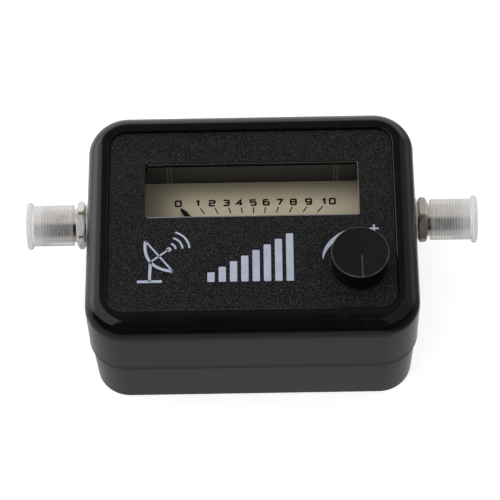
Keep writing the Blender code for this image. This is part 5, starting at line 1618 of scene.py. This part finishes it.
@dataclass
class CoaxialSocket:
    """One socket with its washer, nut and dust cap, modelled along +Z and turned to its side of the case."""

    side: Side
    thread: float = 4.75 * MM
    thread_depth: float = 0.3 * MM
    pitch: float = 0.79375 * MM
    tip: float = 4.3 * MM
    tip_length: float = 2.2 * MM
    bore: float = 3.3 * MM
    block_length: float = 8.5 * MM
    block_size: float = 11.0 * MM
    block_edge: float = 0.5 * MM
    leg: float = 0.6 * MM
    leg_spread: float = 4.0 * MM
    leg_inset: float = 2.0 * MM
    leg_below: float = 1.5 * MM
    fit: float = 0.15 * MM
    washer_teeth: int = 12
    washer_web: float = 1.0 * MM
    washer_edge: float = 0.1 * MM
    tooth_depth: float = 0.75 * MM
    tooth_twist: float = 0.05 * MM
    washer_radius: float = 6.3 * MM
    washer_thickness: float = 0.5 * MM
    washer_gap: float = 0.4 * MM
    nut_width: float = 12.0 * MM
    nut_chamfer: float = 0.8 * MM
    nut_land: float = 0.4 * MM
    nut_inset: float = 0.35 * MM
    nut_edge: float = 0.6 * MM
    nut_spare: float = 0.3 * MM
    nut_bore_edge: float = 0.35 * MM
    nut_turns: tuple[float, float] = (0.0, 23.0)
    cap_wall: float = 0.85 * MM
    cap_clearance: float = 0.2 * MM
    cap_end: float = 1.2 * MM
    cap_gap: float = 0.9 * MM
    cap_centre: float = 0.1 * MM
    cap_skin: float = 0.05 * MM
    mouth_edges: Point = (0.15 * MM, 0.3 * MM)
    gate: Point = (1.3 * MM, 1.1 * MM)
    gate_depth: float = 0.2 * MM
    gate_edge: float = 0.1 * MM
    flange_length: float = 1.5 * MM
    flange_edge: float = 0.62 * MM
    round_edge: float = 0.45 * MM
    core_gap: float = 0.3 * MM
    core_edge: float = 0.2 * MM
    pin_hole: float = 1.0 * MM
    pin_lead: float = 0.5 * MM
    overrun: float = 1.0 * MM
    sides: int = 72
    steps_per_pitch: int = 8

    def node(self, part: str) -> str:
        """The frame's name for one of the socket's parts."""
        return f"{self.side.word}_{part}"

    def matrix(self) -> Matrix:
        """From the socket's own frame, with +Z out of the case, to the object's frame."""
        low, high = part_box(self.node("lock_washer"))
        middle = Vector((0, (low.y + high.y) / 2, (low.z + high.z) / 2))
        return Matrix.Translation(middle) @ Matrix.Rotation(self.side.value * math.pi / 2, 4, "Y")

    def span(self, part: str) -> Point:
        """Where a part starts and ends along the socket's axis, from the middle of the case."""
        low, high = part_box(self.node(part))
        return tuple(sorted((abs(low.x), abs(high.x))))

    def build(self) -> None:
        """Builds every part of the socket."""
        self.barrel()
        self.lock_washer()
        self.nut()
        self.cap()
        self.insulator()
        dress_nodes(BRASS, self.node("contact"))

    def placed(self, name: str, data: bmesh.types.BMesh) -> bpy.types.Object:
        """An object from a bmesh in the socket's own frame."""
        return mesh_object(self.node(name), transformed(data, self.matrix()))

    def change(self, made: bpy.types.Object, shape: bmesh.types.BMesh, cutting: Cutting) -> None:
        """Combines an object with a shape in the socket's own frame."""
        combine(made, [transformed(shape, self.matrix())], cutting)

    def thread_ring(self, height: float, start: float, end: float) -> Ring:
        """One ring of the screw thread, which fades in and out at its ends."""
        ring = []
        ends = min((height - start) / self.pitch, (end - height) / self.pitch)
        depth = self.thread_depth * max(0.0, min(1.0, ends))
        for step, angle in enumerate(turns(self.sides)):
            phase = (height / self.pitch - step / self.sides) % 1.0
            slope = abs(phase - 0.5) * 2
            flank = max(0.0, min(1.0, (slope - 0.4) / 0.5))
            ring.append(Vector((*polar(self.thread - depth * flank, angle), height)))
        return ring

    def barrel(self) -> None:
        """The threaded barrel on its rear block, with a bore through both."""
        start, end = self.span("connector")
        shoulder = start + self.block_length
        thread_start, thread_end = shoulder + self.overrun, end - self.tip_length
        plain = (shoulder - self.overrun / 2, thread_start)
        rings = [circle(self.thread, height, self.sides) for height in plain]
        length = thread_end - thread_start
        count = round(length / self.pitch * self.steps_per_pitch)
        for step in range(1, count):
            rings.append(self.thread_ring(thread_start + length * step / count, thread_start, thread_end))
        edge = self.round_edge / 2
        for radius, height in ((self.thread, thread_end), (self.tip, thread_end + self.thread - self.tip),
                               (self.tip, end - edge), (self.tip - edge, end)):
            rings.append(circle(radius, height, self.sides))
        barrel = self.placed("barrel", loft(rings))
        half = self.block_size / 2
        shape = loft([
            rounded_rectangle((half - inset, half - inset), self.block_edge, height, steps=4)
            for inset, height in ((self.block_edge, start), (0.0, start + self.block_edge),
                                  (0.0, shoulder - self.block_edge), (self.block_edge, shoulder))
        ])
        self.change(barrel, shape, Cutting.ADD)
        middle = self.matrix().translation
        leg_ends = (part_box("circuit_board")[0].z - self.leg_below, middle.z - half + self.block_edge)
        legs = [
            rod(self.leg, *leg_ends, Sides.PIN, (self.side.value * along, middle.y + across))
            for along in (start + self.leg_inset, shoulder - self.leg_inset)
            for across in (-self.leg_spread, self.leg_spread)
        ]
        combine(barrel, legs, Cutting.ADD)
        hole = rod(self.bore, start - self.overrun, end + self.overrun, Sides.HOLE)
        self.change(barrel, hole, Cutting.TAKE)
        piece(barrel, [BARREL_NICKEL], Body.CASE, [self.node("connector")])

    def lock_washer(self) -> None:
        """A thin washer with twisted teeth round its bore."""
        start = self.span("lock_washer")[0]
        end = start + self.washer_thickness
        low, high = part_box(self.node("lock_washer"))
        outer = min((high.y - low.y) / 2, self.washer_radius)
        edge, bore = self.washer_edge, self.thread + self.fit

        def ring(radius: float, height: float, toothed: bool = False) -> Ring:
            """One ring of the washer. The toothed ones follow the teeth round the bore."""
            points = []
            for step, angle in enumerate(turns(self.washer_teeth * 8)):
                between = toothed and step % 8 < 4
                reach = radius + self.tooth_depth if between else radius
                lift = (step % 8 - 5.5) * self.tooth_twist if toothed and not between else 0.0
                points.append(Vector((*polar(reach, angle), height + lift)))
            return points

        rings = [ring(outer - edge, start), ring(outer, start + edge), ring(outer, end - edge),
                 ring(outer - edge, end), ring(bore + self.washer_web, end), ring(bore, end - edge, True),
                 ring(bore, start + edge, True), ring(bore + self.washer_web, start)]
        piece(self.placed("tooth_washer", loft(rings, True)), [WASHER_ZINC], Body.CASE,
              [self.node("lock_washer")])

    def nut(self) -> None:
        """The hexagon nut, its corners turned down to arcs on both faces."""
        start = self.span("lock_washer")[0] + self.washer_thickness + self.washer_gap
        end = self.span("hex_nut")[1] - self.nut_inset
        turn = math.radians(self.nut_turns[self.side is Side.RIGHT])
        corner = self.nut_width / 2 / math.cos(math.pi / 6)
        corners = [(*polar(corner, turn + step * math.pi / 3), self.nut_edge) for step in range(6)]
        nut = self.placed("fine_nut", prism(eased(corners, True, 4), start, end))
        flat = self.nut_width / 2 - self.nut_land
        reach = corner + self.nut_spare
        drop = self.nut_chamfer * (reach - flat) / (corner - flat)
        sliver = 0.0001 * MM
        limits = ((flat, start - sliver), (reach, start + drop), (reach, end - drop), (flat, end + sliver))
        self.change(nut, turned(limits, Sides.NUT), Cutting.KEEP)
        bore, edge = self.thread + self.fit, self.nut_bore_edge
        wide = bore + edge + self.overrun
        hole = ((wide, start - self.overrun), (bore, start + edge), (bore, end - edge),
                (wide, end + self.overrun))
        self.change(nut, turned(hole, Sides.HOLE), Cutting.TAKE)
        # The right nut's finish paints shade on the face towards the front.
        finish = FRONT_SHADED_NICKEL if self.side is Side.RIGHT else NICKEL
        piece(nut, [finish], Body.CASE, [self.node("hex_nut")], 20.0)

    def cap(self) -> None:
        """The translucent cap: a round tube with a flange and a gate mark at its closed end."""
        start, end = self.span("hex_nut")[1] + self.cap_gap - self.nut_inset, self.span("dust_cap")[1]
        low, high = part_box(self.node("dust_cap"))
        flange = (high.y - low.y) / 2
        bore = self.thread + self.cap_clearance
        outer = bore + self.cap_wall
        ceiling, gate_floor = end - self.cap_end, end - self.gate_depth
        profile = eased((
            (self.cap_centre, ceiling, 0.0),
            (bore, ceiling, self.round_edge),
            (bore, start, self.mouth_edges[0]),
            (outer, start, self.mouth_edges[1]),
            (outer, end - self.flange_length, self.flange_edge / 2),
            (flange, end - self.flange_length, self.flange_edge),
            (flange, end, self.flange_edge),
            (self.gate[0], end, self.gate_edge),
            (self.gate[1], gate_floor, self.gate_edge),
            (self.cap_centre, gate_floor, 0.0),
        ), steps=5)
        cap = self.placed("cap_shell", turned(profile, self.sides))
        body = Body.LEFT_CAP if self.side is Side.LEFT else Body.RIGHT_CAP
        piece(cap, [CAP_OUTER, CAP_INNER], body, [self.node("dust_cap")])
        matrix = self.matrix().inverted()
        for face in cap.data.polygons:
            centre = matrix @ face.center
            inside = centre.xy.length < bore + self.cap_skin and centre.z < ceiling + self.cap_skin
            face.material_index = int(inside)

    def insulator(self) -> None:
        """The plastic core of the socket, with the hole for the plug's pin."""
        start, end = self.span("insulator")
        radius, hole, edge = self.bore - self.core_gap, self.pin_hole, self.core_edge
        profile = eased(((hole, start, 0.0), (radius, start, edge), (radius, end, edge),
                         (hole + self.pin_lead, end, 0.0), (hole, end - self.pin_lead, 0.0)), steps=3)
        core = self.placed("socket_core", turned(profile, Sides.HOLE, True))
        piece(core, [INSULATOR], Body.CASE, [self.node("insulator")])


# Electronics


@dataclass
class Electronics:
    """The board and its parts, which keep the frame's meshes."""

    nodes: tuple[tuple[Finish, str], ...] = (
        (BOARD_GREEN, "circuit_board"),
        (ZINC, "shield_can board_screw_1 board_screw_2 board_screw_3 board_screw_4"),
        (COMPONENT, "buzzer transistor_1 transistor_2 transistor_3"),
        (COPPER, "inductor"),
        (SLEEVE, "capacitor_1 capacitor_2 capacitor_3"),
    )

    def build(self) -> None:
        """Dresses the nodes."""
        for finish, names in self.nodes:
            dress_nodes(finish, names)


def dress_nodes(finish: Finish, names: str) -> None:
    """Gives a finish to the frame's own nodes, named with spaces between them."""
    for name in names.split():
        node = bpy.data.objects[name]
        node.data.materials.clear()
        node.data.materials.append(finish.material())
        LOG.info("%s: finish %s", name, finish.name)


def main() -> None:
    """Loads the frame and builds each sub-assembly in order, whose pieces log their face counts."""
    logging.basicConfig(level=logging.INFO, format="%(name)s %(message)s")
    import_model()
    Studio().build()
    Casing().build()
    FacePlate().build()
    Window().build()
    Meter().build()
    GainControl().build()
    for side in Side:
        CoaxialSocket(side).build()
    Electronics().build()


if __name__ == "__main__":
    main()
